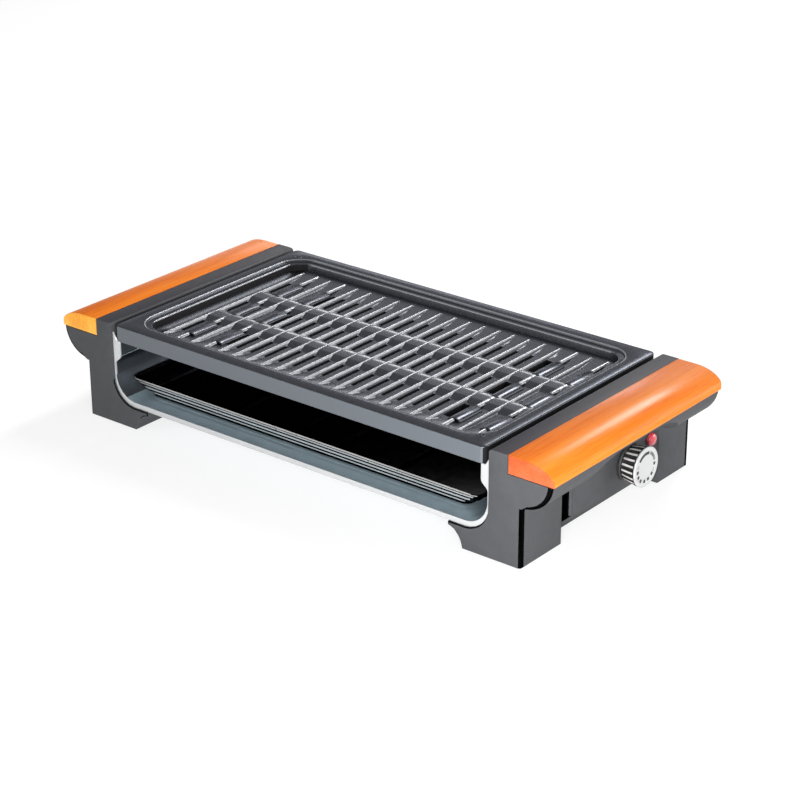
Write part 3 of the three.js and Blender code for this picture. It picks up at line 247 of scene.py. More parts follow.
def tone(color, factor):
    """The colour made lighter or darker."""
    return (color[0] * factor, color[1] * factor, color[2] * factor, 1.0)


def speckled(name, color, spread, scale, roughness, rough_spread, grain, depth, **more):
    """A colour that varies by spread in patches, with a fine grain of the given depth in metres."""
    m = Maker(name, color, roughness=roughness, **more)
    m.color(m.ramp(m.noise(scale), [(0.3, tone(color, 1 - spread)), (0.7, tone(color, 1 + spread))]))
    m.roughness(m.remap(m.noise(scale * 2.3), 0.3, 0.7, roughness - rough_spread, roughness + rough_spread))
    m.bump(m.noise(grain, detail=2.0), depth)
    return m


def make_plate(name, color, metallic):
    m = speckled(name, color, 0.14, 260, 0.27, 0.03, 1500, 0.000015, metallic=metallic, specular=0.3)
    m.bsdf.inputs["Specular Tint"].default_value = (0.45, 0.46, 0.50, 1.0)
    return m.mat


def make_skirt():
    color = (0.125, 0.139, 0.156, 1.0)
    m = Maker("satin_skirt", color, roughness=0.42, metallic=0.25, specular=0.3)
    grain = m.noise(2600, detail=2.0)
    m.color(m.ramp(grain, [(0.30, tone(color, 0.86)), (0.62, tone(color, 1.04)), (0.74, tone(color, 1.35))]))
    m.roughness(m.remap(m.noise(300), 0.3, 0.7, 0.38, 0.48))
    m.bump(grain, 0.00003)
    return m.mat


# A lighter copy of the plate's coating: painted sheen on the crests and flanks of the ribs, the rods, the
# saddles' rear slopes and the rounded edges of rim and ledge.
def make_rib_painted_sheen():
    color = (0.145, 0.150, 0.162, 1.0)
    m = Maker("rib_coating_painted_sheen", color, roughness=0.25, metallic=0.45, specular=0.8)
    grain = m.noise(1.0, detail=2.0, stretch=(900, 520, 900))
    m.color(m.ramp(grain, [(0.32, tone(color, 0.90)), (0.55, tone(color, 1.0)), (0.72, tone(color, 1.12))]))
    m.roughness(m.remap(m.noise(300), 0.3, 0.7, 0.22, 0.29))
    m.bump(grain, 0.00001)
    return m.mat


def make_housing(name, color):
    return speckled(name, color, 0.05, 120, 0.50, 0.03, 2600, 0.00003, specular=0.08).mat


# Near-black: painted shade on the belly's end, along the pan and in the recess, and a painted dark reflection
# on the legs' upright corners.
def make_painted_dark():
    color = (0.005, 0.005, 0.006, 1.0)
    m = speckled("painted_dark_edge", color, 0.10, 160, 0.26, 0.03, 1200, 0.00001, metallic=0.9, specular=0.05)
    m.bsdf.inputs["Specular Tint"].default_value = (0.10, 0.10, 0.11, 1.0)
    return m.mat


def make_wood(name, tint, specular=0.07):
    m = Maker(name, (0.90, 0.30, 0.05, 1.0), roughness=0.24, specular=specular)
    broad = m.noise(1.0, detail=4.0, stretch=(48, 3.2, 48))
    fine = m.noise(1.0, detail=5.0, rough=0.7, stretch=(620, 22, 620))
    body = m.ramp(broad, [(0.30, (0.74 * tint[0], 0.160 * tint[1], 0.014 * tint[2], 1)),
                          (0.50, (0.81 * tint[0], 0.215 * tint[1], 0.021 * tint[2], 1)),
                          (0.72, (0.88 * tint[0], 0.275 * tint[1], 0.038 * tint[2], 1))])
    lines = m.ramp(fine, [(0.36, (0.80, 0.68, 0.55, 1)), (0.52, (1, 1, 1, 1))])
    made = m.node("ShaderNodeMix")
    made.data_type = "RGBA"
    made.blend_type = "MULTIPLY"
    made.inputs[0].default_value = 0.6
    m.link(body, made.inputs[6])
    m.link(lines, made.inputs[7])
    m.color(made.outputs[2])
    m.roughness(m.remap(fine, 0.3, 0.7, 0.21, 0.29))
    m.bump(fine, 0.00003)
    return m.mat


def make_sheet(name, color):
    m = Maker(name, color, roughness=0.36, metallic=0.7)
    cells = m.node("ShaderNodeTexVoronoi")
    cells.inputs["Scale"].default_value = 150
    m.link(m.coords, cells.inputs["Vector"])
    grey = m.node("ShaderNodeSeparateColor")
    m.link(cells.outputs["Color"], grey.inputs[0])
    m.color(m.ramp(grey.outputs[0], [(0.0, tone(color, 0.95)), (1.0, tone(color, 1.04))]))
    m.roughness(m.remap(m.noise(90), 0.3, 0.7, 0.32, 0.44))
    m.bump(m.noise(1.0, stretch=(40, 900, 900)), 0.00002)
    return m.mat


# A near-white copy of the sheet: painted reflection of the pale floor on the pan's lips.
def make_lip_sheen():
    color = (0.53, 0.538, 0.545, 1.0)
    m = Maker("lip_painted_reflection", color, roughness=0.30, metallic=0.25)
    m.color(m.ramp(m.noise(60), [(0.3, tone(color, 0.95)), (0.7, tone(color, 1.03))]))
    m.bump(m.noise(1.0, stretch=(1200, 60, 1200)), 0.00002)
    return m.mat


def make_enamel():
    m = Maker("black_enamel", (0.003, 0.0032, 0.004, 1.0), roughness=0.14, metallic=0.9, specular=0.05)
    m.bsdf.inputs["Specular Tint"].default_value = (0.10, 0.10, 0.11, 1.0)
    m.roughness(m.remap(m.noise(140), 0.3, 0.7, 0.10, 0.20))
    m.bump(m.noise(70, detail=2.0), 0.00005)
    return m.mat


# A pale copy of the tray's enamel: painted highlight bands on the upper halves of the wall's steps.
def make_tray_sheen():
    color = (0.42, 0.416, 0.41, 1.0)
    m = Maker("enamel_painted_sheen", color, roughness=0.30, metallic=0.6)
    m.color(m.ramp(m.noise(1.0, stretch=(30, 30, 900)), [(0.3, tone(color, 0.85)), (0.7, tone(color, 1.10))]))
    m.roughness(m.remap(m.noise(160), 0.3, 0.7, 0.26, 0.36))
    m.bump(m.noise(90), 0.00003)
    return m.mat


def make_metal(name, color, roughness, metallic=0.9):
    m = Maker(name, color, roughness=roughness, metallic=metallic)
    m.color(m.ramp(m.noise(200), [(0.3, tone(color, 0.86)), (0.7, tone(color, 1.1))]))
    m.roughness(m.remap(m.noise(420), 0.3, 0.7, roughness - 0.06, roughness + 0.08))
    m.bump(m.noise(1800), 0.00003)
    return m.mat


def make_plain(name, color, roughness, spread=0.06, grain=1800, depth=0.00003, **more):
    return speckled(name, color, spread, 160, roughness, 0.04, grain, depth, **more).mat


def make_lens():
    m = Maker("red_lens", (0.80, 0.045, 0.065, 1.0), roughness=0.18, specular=0.6, coat=0.6)
    m.bsdf.inputs["Transmission Weight"].default_value = 0.15
    rings = m.noise(1400, detail=1.0)
    m.color(m.ramp(rings, [(0.35, (0.74, 0.035, 0.055, 1)), (0.65, (0.95, 0.12, 0.15, 1))]))
    m.bump(rings, 0.00008)
    return m.mat


MATERIALS = {
    "plate": make_plate("cast_coating", (0.040, 0.042, 0.047, 1.0), 0.75),
    "tray_enamel": make_enamel(),
    "galvanised_sheet": make_sheet("zinc_sheet", (0.40, 0.52, 0.59, 1.0)),
    "heater_tube": make_metal("oxidised_tube", (0.16, 0.15, 0.145, 1.0), 0.5),
    "bright_steel": make_metal("plated_steel", (0.55, 0.56, 0.57, 1.0), 0.34),
    "screws": make_metal("screw_steel", (0.50, 0.51, 0.52, 1.0), 0.32),
    "ceramic": make_plain("ceramic", (0.76, 0.72, 0.64, 1.0), 0.6),
    "housing": make_housing("moulded_grey", (0.071, 0.073, 0.078, 1.0)),
    "covers": make_housing("moulded_grey_cover", (0.068, 0.070, 0.075, 1.0)),
    "wood": make_wood("varnished_wood", (1.0, 1.0, 1.0)),
    "rubber_pads": make_plain("rubber", (0.018, 0.018, 0.018, 1.0), 0.85, depth=0.00006),
    "knob": make_plain("knob_black", (0.020, 0.020, 0.021, 1.0), 0.34),
    "dial_face": make_plain("dial_white", (0.50, 0.505, 0.505, 1.0), 0.4, spread=0.02),
    "inner_plastic": make_plain("inner_cream", (0.68, 0.64, 0.55, 1.0), 0.6),
    "lens": make_lens(),
    "lamp_glass": make_plain("lamp_bulb", (0.80, 0.42, 0.22, 1.0), 0.15),
    "cord_gland": make_plain("soft_bush", (0.020, 0.020, 0.020, 1.0), 0.75),
}
LIP_SHEEN = make_lip_sheen()
# A dark sheet: painted shade on the pan's inner end walls, and tarnish on the heat shields.
TARNISH_AND_SHADE = make_sheet("tarnished_and_shaded_sheet", (0.085, 0.098, 0.115, 1.0))
SKIRT = make_skirt()
RIB_SHEEN = make_rib_painted_sheen()
# A lighter copy of the plate's coating: painted light on the floor's up-facing faces.
FLOOR_LIT = make_plate("floor_coating_painted_light", (0.078, 0.082, 0.092, 1.0), 0.6)
# Near-black painted shade: in the slots, on the plate's ends, on the basin's left wall and under the floor.
SHADE_BLACK = make_plain("painted_shade_black", (0.010, 0.010, 0.011, 1.0), 0.7, specular=0.1)
PAINTED_DARK = make_painted_dark()
# A darker copy of the housing's grey: painted shade on the housings' top faces.
TOPS_SHADED = make_housing("moulded_grey_top_painted_shade", (0.039, 0.037, 0.044, 1.0))
# A pale grey: painted highlight on the housings' rounded top edge beside the plate.
HIGHLIGHT_GREY = make_housing("moulded_grey_painted_highlight", (0.42, 0.42, 0.44, 1.0))
TRAY_SHEEN = make_tray_sheen()
WOODS = {
    "right_handle": MATERIALS["wood"],
    "left_handle": make_wood("varnished_wood_left", (1.06, 1.02, 0.9), specular=0.03),
}
WOOD_ENDS = {
    "right_handle": make_wood("wood_end_right", (0.66, 0.52, 1.9)),
    "left_handle": make_wood("wood_end_left", (1.2, 2.1, 3.2)),
}
RIDGES = make_metal("knob_ridges", (0.80, 0.76, 0.74, 1.0), 0.36, metallic=0.35)
MARKS = make_plain("dial_print", (0.012, 0.012, 0.013, 1.0), 0.5)
PALE_MARKS = make_plain("dial_print_pale", (0.34, 0.34, 0.35, 1.0), 0.5)


def dress(obj, *materials):
    kept = [polygon.material_index for polygon in obj.data.polygons]
    obj.data.materials.clear()
    for material in materials:
        obj.data.materials.append(material)
    if len(materials) > 1:
        obj.data.polygons.foreach_set("material_index", [min(i, len(materials) - 1) for i in kept])


for name, node in nodes.items():
    dress(node, MATERIALS[slot_of[name]])


def stand_in(obj, node, body, *materials):
    dress(obj, *(materials or (MATERIALS[slot_of[node]],)))
    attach(obj, body)
    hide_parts(node)


# ---------------------------------------------------------------- the grill plate

PLATE_TOP = 94.3
FLOOR = 82.5
UNDER = 78.0
CREST = 3.5
PITCH = 16.1
RIBS = 22
SADDLE_Y = 28.4
SADDLE_HALF = 14.5
SADDLE_RISE = 3.1
BASIN_X, BASIN_Y, BASIN_R = 182.4, 101.4, 18.0
BROKEN = (1, 3, RIBS - 3, RIBS - 1)     # the ribs made of rods and humps
RIB_FOOT = 1.95
END = BASIN_Y - 4.4
RODS = ((-END, -END + 21.0), (-SADDLE_Y - 18.2, -SADDLE_Y + 6.8), (SADDLE_Y - 18.2, SADDLE_Y + 6.8),
        (END - 29.0, END))
HUMPS = tuple((RODS[i][1], RODS[i + 1][0]) for i in range(3))
SLOT_ROWS = ((-71.5, -43.2), (-13.6, 13.6), (43.2, 71.5))
SLOT_WIDTH, WIDE_SLOT = 3.0, 6.4
ROD_R = 2.3
HUMP_HALF = 6.3
HUMP_RISE = 3.4
IN_WALL = 1.2                           # how far the floor reaches into the walls
CLIMB = 3.3                             # how far the floor rises at the walls
CLIMB_Y = 70.5
CLIMB_X = 11.0
HEATER_R = 4.2
HEATER_BEND = 12.0

# Half sections: the distance from the middle, and the height there.
RIB_SECTION = ((0, 3.5), (0.3, 3.46), (0.6, 3.34), (0.85, 3.16), (1.05, 2.94), (1.22, 2.66), (1.36, 2.3),
               (1.5, 1.88), (1.65, 1.38), (1.8, 0.86), (1.95, 0.42), (2.15, 0.14), (2.4, 0.03), (2.9, 0.0))
SADDLE_SECTION = ((0, 1), (0.1, 0.99), (0.2, 0.965), (0.3, 0.925), (0.4, 0.87), (0.5, 0.795), (0.6, 0.69),
                  (0.7, 0.52), (0.8, 0.29), (0.9, 0.09), (1, 0))


def table(section, d):
    """The height of a half section at the distance d."""
    d = abs(d)
    for (a, va), (b, vb) in zip(section, section[1:]):
        if d <= b:
            t = (d - a) / (b - a)
            return va + (vb - va) * t
    return section[-1][1]


def rib_x(k):
    return (k - (RIBS - 1) / 2) * PITCH


def nearest_rib(x):
    return min(max(round(x / PITCH + (RIBS - 1) / 2), 0), RIBS - 1)


def ease(t):
    t = min(max(t, 0.0), 1.0)
    return t * t * (3 - 2 * t)


def ground(x, y):
    """The floor without ribs: its climb to the walls, and the two saddles."""
    along = CLIMB * ease((abs(y) - CLIMB_Y) / (BASIN_Y - CLIMB_Y)) ** 1.15
    across = CLIMB * ease((abs(x) - (BASIN_X - CLIMB_X)) / CLIMB_X) ** 1.15
    z = FLOOR + max(along, across)
    if x > rib_x(0):
        for side in (-1, 1):
            rise = SADDLE_RISE * table(SADDLE_SECTION, (y - side * SADDLE_Y) / SADDLE_HALF)
            z = max(z, FLOOR + rise)
    return z


def surface(x, y):
    """The floor with the ribs, rods and humps."""
    z = ground(x, y)
    k = nearest_rib(x)
    d = x - rib_x(k)
    if k not in BROKEN:
        fade = 1 - ease((abs(y) - (END - 4)) / 4)
        if abs(y) <= END:
            z = max(z, FLOOR + table(RIB_SECTION, d) * (0.55 + 0.45 * fade) - (0 if fade > 0 else 9))
        return z
    for y0, y1 in HUMPS:
        if y0 <= y <= y1 and abs(d) < HUMP_HALF:
            edge = min(y - y0, y1 - y)
            soft = min(1.0, 0.82 + 0.18 * edge / 0.8)
            z = max(z, FLOOR + HUMP_RISE * soft * math.sqrt(max(0.0, 1 - (d / HUMP_HALF) ** 2)))
    for y0, y1 in RODS:
        reach = max(y0 + ROD_R - y, 0.0, y - (y1 - ROD_R))
        gap = math.hypot(d, reach)
        if gap < ROD_R:
            z = max(z, FLOOR + CREST - ROD_R + math.sqrt(ROD_R * ROD_R - gap * gap))
    return z


def heater_route():
    """The middle line of the heater: two straight runs and the bend between them."""
    r = HEATER_BEND
    x = rib_x(1) + r
    turns = [i * math.pi / 12 for i in range(7)]
    front = [(x - r * math.sin(a), -SADDLE_Y + r - r * math.cos(a)) for a in turns]
    rear = [(x - r * math.cos(a), SADDLE_Y - r + r * math.sin(a)) for a in turns]
    return [(230, -SADDLE_Y)] + front + rear + [(230, SADDLE_Y)]


HEATER = heater_route()


def underside(x, y):
    """The lower face: flat, with a groove for the heater."""
    best = 99.0
    for (ax, ay), (bx, by) in zip(HEATER, HEATER[1:]):
        lx, ly = bx - ax, by - ay
        t = ((x - ax) * lx + (y - ay) * ly) / max(lx * lx + ly * ly, 1e-9)
        t = min(max(t, 0.0), 1.0)
        best = min(best, math.hypot(x - ax - t * lx, y - ay - t * ly))
    return UNDER + (math.sqrt(HEATER_R ** 2 - best ** 2) + 0.4 if best < HEATER_R else 0.0)


def slot_span(k):
    """The slot at the right foot of rib k, if it has one."""
    if k in (1, 2) or k >= RIBS - 3:
        return None
    start = rib_x(k) + (HUMP_HALF if k == BROKEN[1] else RIB_FOOT)
    return (start, start + (WIDE_SLOT if k == RIBS - 4 else SLOT_WIDTH))


def lines(values, gap=0.02):
    """The values in order, without those closer than gap to the one before."""
    values = sorted(values)
    kept = [values[0]]
    for v in values[1:]:
        if v - kept[-1] > gap:
            kept.append(v)
    return kept


def clipped(x, y):
    """Keeps a point of the floor's outer edge inside the wall of the basin."""
    hx, hy, r = BASIN_X + IN_WALL, BASIN_Y + IN_WALL, BASIN_R + IN_WALL
    x = min(max(x, -hx), hx)
    y = min(max(y, -hy), hy)
    cx, cy = abs(x) - (hx - r), abs(y) - (hy - r)
    if cx > 0 and cy > 0:
        d = math.hypot(cx, cy)
        if d > r:
            return (math.copysign(hx - r + cx * r / d, x), math.copysign(hy - r + cy * r / d, y))
    return (x, y)


def floor_columns(spans, hx):
    """The x of the floor's grid lines, above and below. The lower face needs fewer."""
    xs, low_xs = [], []
    half_pitch = PITCH / 2
    offsets = tuple(d for d, height in RIB_SECTION[1:]) + (5.2, half_pitch)
    hump_offsets = (0.6, 1.2, 1.7, 2.1, 2.28, 2.34, 3.1, 3.9, 4.6, 5.2, 5.7, 6.05, 6.25, 6.3, half_pitch)
    for k in range(RIBS):
        middle = rib_x(k)
        for o in (0,) + (hump_offsets if k in BROKEN else offsets):
            xs += [middle - o, middle + o]
        if k in spans:
            x0, x1 = spans[k]
            xs = [x for x in xs if not (x0 - 0.12 < x < x1 + 0.12)]
            xs += [x0, x1, x0 + (x1 - x0) / 2]
            low_xs += [x0, x1, x0 + (x1 - x0) / 2]
    edge = [-hx, hx, -BASIN_X, BASIN_X]
    edge += [s * (BASIN_X - o) for s in (-1, 1) for o in (1.5, 3, 4.5, 6, 7.5, 9, CLIMB_X)]
    xs = lines([x for x in xs + edge if abs(x) <= hx])
    low_xs = lines(low_xs + [-hx, hx] + [rib_x(1) + o for o in (-HEATER_R, -3.6, -2.5, 0, 2.5, 3.6, HEATER_R)])
    low_xs = [min(xs, key=lambda v: abs(v - x)) for x in low_xs]
    return xs, lines(low_xs)


def floor_rows(hy):
    """The y of the floor's grid lines."""
    ys = [0, -hy, hy, -BASIN_Y, BASIN_Y]
    for side in (-1, 1):
        ys += [side * SADDLE_Y + s * SADDLE_HALF * d for d, height in SADDLE_SECTION for s in (-1, 1)]
        ys += [side * SADDLE_Y + s * o for o in (HEATER_R, 3.9, 3.2) for s in (-1, 1)]
        ys += [side * o for o in (END, END - 0.7, END - 1.4, END - 2.2, END - 3, END - 4, 75, 80, 85, 89, 92)]
    for y0, y1 in RODS:
        for o in (0, 0.12, 0.5, 1.0, 1.6, ROD_R):
            ys += [y0 + o, y1 - o]
    for y0, y1 in HUMPS:
        ys += [y0 - 0.06, y0 + 0.06, y0 + 0.8, y1 + 0.06, y1 - 0.06, y1 - 0.8]
    for y0, y1 in SLOT_ROWS:
        ys = [y for y in ys if min(abs(y - y0), abs(y - y1)) > 0.25]
        ys += [y0, y1]
    return lines(ys, 0.05)


def plate_floor():
    """The ribbed floor as a grid of height values, open at the slots."""
    hx, hy = BASIN_X + IN_WALL, BASIN_Y + IN_WALL
    spans = {k: slot_span(k) for k in range(RIBS) if slot_span(k)}
    xs, low_xs = floor_columns(spans, hx)
    ys = floor_rows(hy)

    def open_cell(x, y):
        for k, (x0, x1) in spans.items():
            if x0 < x < x1:
                return any(y0 < y < y1 for y0, y1 in SLOT_ROWS)
        return False

    points, faces, index = [], [], {}

    def vertex(layer, x, y):
        key = (layer, round(x, 4), round(y, 4))
        if key not in index:
            px, py = clipped(x, y)
            z = surface(x, y) if layer else underside(x, y)
            index[key] = len(points)
            points.append((px, py, z))
        return index[key]

    def sheet(layer, columns):
        for x0, x1 in zip(columns, columns[1:]):
            for y0, y1 in zip(ys, ys[1:]):
                if open_cell((x0 + x1) / 2, (y0 + y1) / 2):
                    continue
                quad = [vertex(layer, x, y) for x, y in ((x0, y0), (x1, y0), (x1, y1), (x0, y1))]
                faces.append(tuple(quad if layer else reversed(quad)))

    def wall(path):
        for (ax, ay), (bx, by) in zip(path, path[1:]):
            faces.append((vertex(1, ax, ay), vertex(1, bx, by), vertex(0, bx, by), vertex(0, ax, ay)))

    sheet(1, xs)
    sheet(0, low_xs)
    for x0, x1 in spans.values():
        inner_xs = [x for x in xs if x0 - 0.001 <= x <= x1 + 0.001]
        for y0, y1 in SLOT_ROWS:
            inner_ys = [y for y in ys if y0 - 0.001 <= y <= y1 + 0.001]
            loop = ([(x, y0) for x in inner_xs] + [(x1, y) for y in inner_ys[1:]]
                    + [(x, y1) for x in reversed(inner_xs[:-1])] + [(x0, y) for y in reversed(inner_ys[1:-1])])
            wall(loop + loop[:1])
    for y in (-hy, hy):
        wall([(x, y) for x in xs])
    for x in (-hx, hx):
        wall([(x, y) for y in ys])
    return points, faces


def plate_shell():
    """Skirt, rim, ledge and wall: each row has the half sizes in x and y, the corner and the height."""
    section = [
        (199.7, 119.7, 4.7, 79.7), (200, 120, 5, 80.0), (200, 120, 5, 92.9), (199.88, 119.88, 4.88, 93.5),
        (199.5, 119.5, 4.5, 94.0), (198.9, 118.9, 3.9, 94.3), (189.6, 108.6, 25.2, 94.3),
        (188.9, 107.9, 24.5, 94.12), (188.5, 107.5, 24.1, 93.6), (188.35, 107.35, 23.95, 92.6),
        (188.0, 107.0, 23.6, 92.2), (187.4, 106.4, 23.0, 92.1), (183.5, 102.5, 19.1, 92.08),
        (182.9, 101.9, 18.5, 91.85), (182.5, 101.5, 18.1, 91.2), (182.1, 101.1, 17.7, 85.0),
        (181.7, 100.7, 17.3, 83.6), (181.7, 100.7, 17.3, 79.4), (183.0, 102.0, 18.6, 78.0),
        (184.9, 103.9, 20.5, 78.0), (185.4, 104.4, 21.0, 78.5), (185.4, 104.4, 21.0, 90.4),
        (186.1, 105.1, 21.7, 91.1), (195.9, 115.9, 1.9, 91.1), (196.6, 116.6, 1.6, 90.4),
        (196.6, 116.6, 1.6, 80.0), (196.9, 116.9, 1.9, 79.7),
    ]
    rings = [ring(hx, hy, r, z, steps=10) for hx, hy, r, z in section]
    return skin(rings, closed=True)


def cast_mark(x, y):
    """A raised ring with a dot in it, as the mould leaves."""
    section = ((0.01, 0.42), (0.7, 0.36), (1.05, 0.12), (1.2, -0.15), (2.2, -0.15), (2.35, 0.16), (2.8, 0.38),
               (3.3, 0.38), (3.75, 0.16), (3.9, -0.15))
    sides = 28
    turns = [2 * math.pi * i / sides for i in range(sides)]
    points, faces = skin([[(x + r * math.cos(a), y + r * math.sin(a), PLATE_TOP + h) for a in turns]
                          for r, h in section])
    faces.append(tuple(reversed(range(sides))))
    return points, faces


def combined(name, *forms):
    """One object of several lists of points and faces."""
    points, faces = [], []
    for some_points, some_faces in forms:
        base = len(points)
        points += some_points
        faces += [tuple(i + base for i in face) for face in some_faces]
    return new_object(name, points, faces)


COATING, SKIRT_PART, SHEEN_PART, SHADE_PART, LIT_FLOOR_PART = range(5)


def floor_part(x, y, z, normal):
    """Which part of the floor a face belongs to."""
    k = nearest_rib(x)
    # Painted shade: the slots' walls and the faces under the floor take the near-black.
    if abs(normal.z) < 0.3 and z < FLOOR - 0.3 or z < UNDER + 4.3 and normal.z < -0.1:
        return SHADE_PART
    # Painted sheen: the ribs and rods take the lighter rib material.
    if abs(x - rib_x(k)) < (ROD_R if k in BROKEN else RIB_FOOT) and z > ground(x, y) + 0.25 and z > FLOOR + 0.3:
        on_rod = any(y0 - 0.1 < y < y1 + 0.1 for y0, y1 in RODS)
        return SHEEN_PART if (k not in BROKEN or on_rod) and abs(normal.y) < 0.5 else COATING
    # Painted highlight: the saddles' rear slopes take the lighter rib material.
    if 0.09 < normal.y < 0.23 and z > FLOOR + 0.5 * SADDLE_RISE and abs(y) < SADDLE_Y + SADDLE_HALF:
        return SHEEN_PART
    # Painted light on the up-facing floor. Front-facing slopes and the channel left of the first rib keep the
    # darker coating as painted shade.
    flat = normal.z > 0.94 and normal.y > -0.12
    if (flat or abs(y) > 60 or abs(x) > BASIN_X - 14) and normal.z > 0.7 and x > rib_x(0) - RIB_FOOT:
        return LIT_FLOOR_PART
    return COATING


def plate_part(x, y, z, normal):
    """Which part of the plate a face belongs to."""
    at_corner = abs(y) > 115 and abs(x) > 195
    if 79.9 < z < 94.2:
        if abs(y) > 119.7 and abs(x) < 198 or at_corner and abs(normal.y) > 0.8:
            return SKIRT_PART
    # Painted shade: the plate's ends and the side halves of its corners take the near-black.
    if (abs(x) > 199.6 or at_corner) and z < 93:
        return SHADE_PART
    # Painted shade: the basin's wall on the left side only takes the near-black.
    if x < 19 - BASIN_X and 86.2 < z < 91.3 and normal.x > 0.3 and abs(normal.z) < 0.5:
        return SHADE_PART
    if abs(x) < BASIN_X and abs(y) < BASIN_Y:
        return floor_part(x, y, z, normal)
    # Painted highlight lines: the rounded edges of the rim and ledge take the lighter rib material.
    on_rim = 93.5 < z < 94.28 and abs(x) < 189.7 and abs(y) < 108.7
    on_ledge = 91.2 < z < 92.07 and abs(x) < 184 and abs(y) < 103
    return SHEEN_PART if (on_rim or on_ledge) and normal.z > 0.1 else COATING


plate = combined("grill_plate_form", plate_shell(), plate_floor(),
                 cast_mark(185.0, -104.2), cast_mark(-185.0, 104.2))
merged(plate, NO_GAP)
smooth(plate, 42)
stand_in(plate, "grill_plate", "plate", MATERIALS["plate"], SKIRT, RIB_SHEEN, SHADE_BLACK, FLOOR_LIT)
for polygon in plate.data.polygons:
    polygon.material_index = plate_part(*(polygon.center / MM), polygon.normal)


# ---------------------------------------------------------------- the drip tray

TRAY_BASE = 25.5
TRAY_SHIFT = -7.0
TRAY_HALF_X, TRAY_HALF_Y, TRAY_R = 176.4, 98.0, 9.0
TRAY_OUT_X, TRAY_OUT_Y = 15.6, 7.0      # how far the wall leans out
BEAD_X = (23.5, 90.0)
SHEEN_STEPS = ((28.5, 30.2), (33.0, 34.8), (37.0, 38.6), (39.6, 42))


def tray_form():
    """The stepped wall: each station has its share of the lean, its height and an inset."""
    wall = 1.0
    stations = ((0, 0, 8.0), (0, 0, 1.6), (0, 0.35, 0.5), (0, 1.0, 0), (0.05, 2.9, 0), (0.10, 4.6, 0),
                (0.20, 5.2, 0), (0.42, 5.6, 0), (0.48, 6.2, 0), (0.495, 7.5, 0), (0.51, 9.0, 0), (0.57, 9.6, 0),
                (0.73, 10.0, 0), (0.78, 10.6, 0), (0.79, 11.6, 0), (0.80, 12.8, 0), (0.86, 13.3, 0),
                (0.99, 13.7, 0), (1.0, 14.4, 0), (1.0, 15.1, 0), (1.0, 15.5, 0.4))
    outer = [(TRAY_HALF_X + TRAY_OUT_X * out - inset, TRAY_HALF_Y + TRAY_OUT_Y * out - inset,
              max(TRAY_R - inset, 1.5), z) for out, z, inset in stations]
    inner = [(hx - wall, hy - wall, r - wall + 0.2, min(z + (wall if z < 14 else 0.15), 15.3))
             for hx, hy, r, z in outer[1:-3]]
    rings = [ring(hx, hy, r, TRAY_BASE + z, steps=10, shift=TRAY_SHIFT)
             for hx, hy, r, z in outer + inner[::-1]]
    points, faces = skin(rings)
    count = len(rings[0])
    faces.append(tuple(reversed(range(count))))
    faces.append(tuple(range(len(points) - count, len(points))))
    return points, faces


def bead(x, reach=80.0, radius=1.7, z=26.4):
    """A low half-round bead across the tray's floor, with its ends run out."""
    parts, sides = 16, 10
    rings = []
    for i in range(parts + 1):
        t = i / parts
        end = min(t, 1 - t) * 2 * reach
        r = radius * min(1.0, 0.15 + 0.85 * math.sqrt(min(1.0, end / 3.0)))
        turns = [math.pi * j / sides for j in range(sides + 1)]
        rings.append([(x + r * 1.25 * math.cos(a), -reach + 2 * reach * t, z + r * math.sin(a)) for a in turns])
    points, faces = skin(rings)
    count = sides + 1
    faces.append(tuple(range(count)))
    faces.append(tuple(reversed(range(parts * count, (parts + 1) * count))))
    return points, faces


beads = [bead(side * x + TRAY_SHIFT) for x in BEAD_X for side in (-1, 1)]
tray = combined("drip_tray_form", tray_form(), *beads)
merged(tray, NO_GAP)
smooth(tray, 40)
stand_in(tray, "drip_tray", "tray", MATERIALS["tray_enamel"], TRAY_SHEEN)
# Painted highlight: the outward faces at the steps' upper halves take the pale copy, except at the right end.
for polygon in tray.data.polygons:
    x, y, z = polygon.center / MM
    outwards = polygon.normal.x * (x - TRAY_SHIFT) * 98 / 176 + polygon.normal.y * y > 0
    turning = x > 120 and polygon.normal.y > -0.85
    if outwards and not turning and any(low < z < high for low, high in SHEEN_STEPS):
        polygon.material_index = 1


# ---------------------------------------------------------------- housings, pan, handles

LEG_OUTER = 235.9                       # the outer faces of the legs
LEG_TOP = 54
STRIP = 1.9                             # the painted dark reflection at a leg's upright corner
STRIP_Y = 115.2
PLASTIC, PAINTED_DARK_EDGE, SHADED_TOP_FACE, HIGHLIGHT_EDGE = range(4)


def edge_band(edge):
    """The width and material of an edge's rounding: painted shade along the belly's end and along the pan,
    a painted highlight along the top beside the plate."""
    points = [vert.co / MM for vert in edge.verts]
    middle = (points[0] + points[1]) / 2
    beside_pan = abs(middle.x) < 204.5
    if all(abs(p.y) > 119.8 for p in points):
        if abs(middle.x) > LEG_OUTER + 3 and 52 < middle.z < 78:
            return (3.2, PAINTED_DARK_EDGE)
        if beside_pan and 12 < middle.z < 78:
            return (0.9, PAINTED_DARK_EDGE)
    # Painted highlight on the top edge beside the plate.
    if beside_pan and middle.z > 90 and abs(points[0].x - points[1].x) < 0.1:
        return (0.5, HIGHLIGHT_EDGE)
    return None


def is_painted_dark(x, y, z, normal):
    """Whether a face takes the painted dark: a painted dark reflection on a leg's upright corner, painted shade
    in the recess beside the panel.
    """
    upright = abs(normal.z) < 0.2
    slanting = upright and min(abs(normal.x), abs(normal.y)) > 0.10
    rounding = slanting and abs(x) > LEG_OUTER - 4 and abs(y) > 116 and z < LEG_TOP
    strip = upright and LEG_OUTER - STRIP < abs(x) < LEG_OUTER + 0.2 and abs(y) > STRIP_Y and z < 53
    recess = 219.0 < x < 235.4 and -66.0 < y < -51.0 and 17.5 < z < 50.5
    return rounding or strip or recess


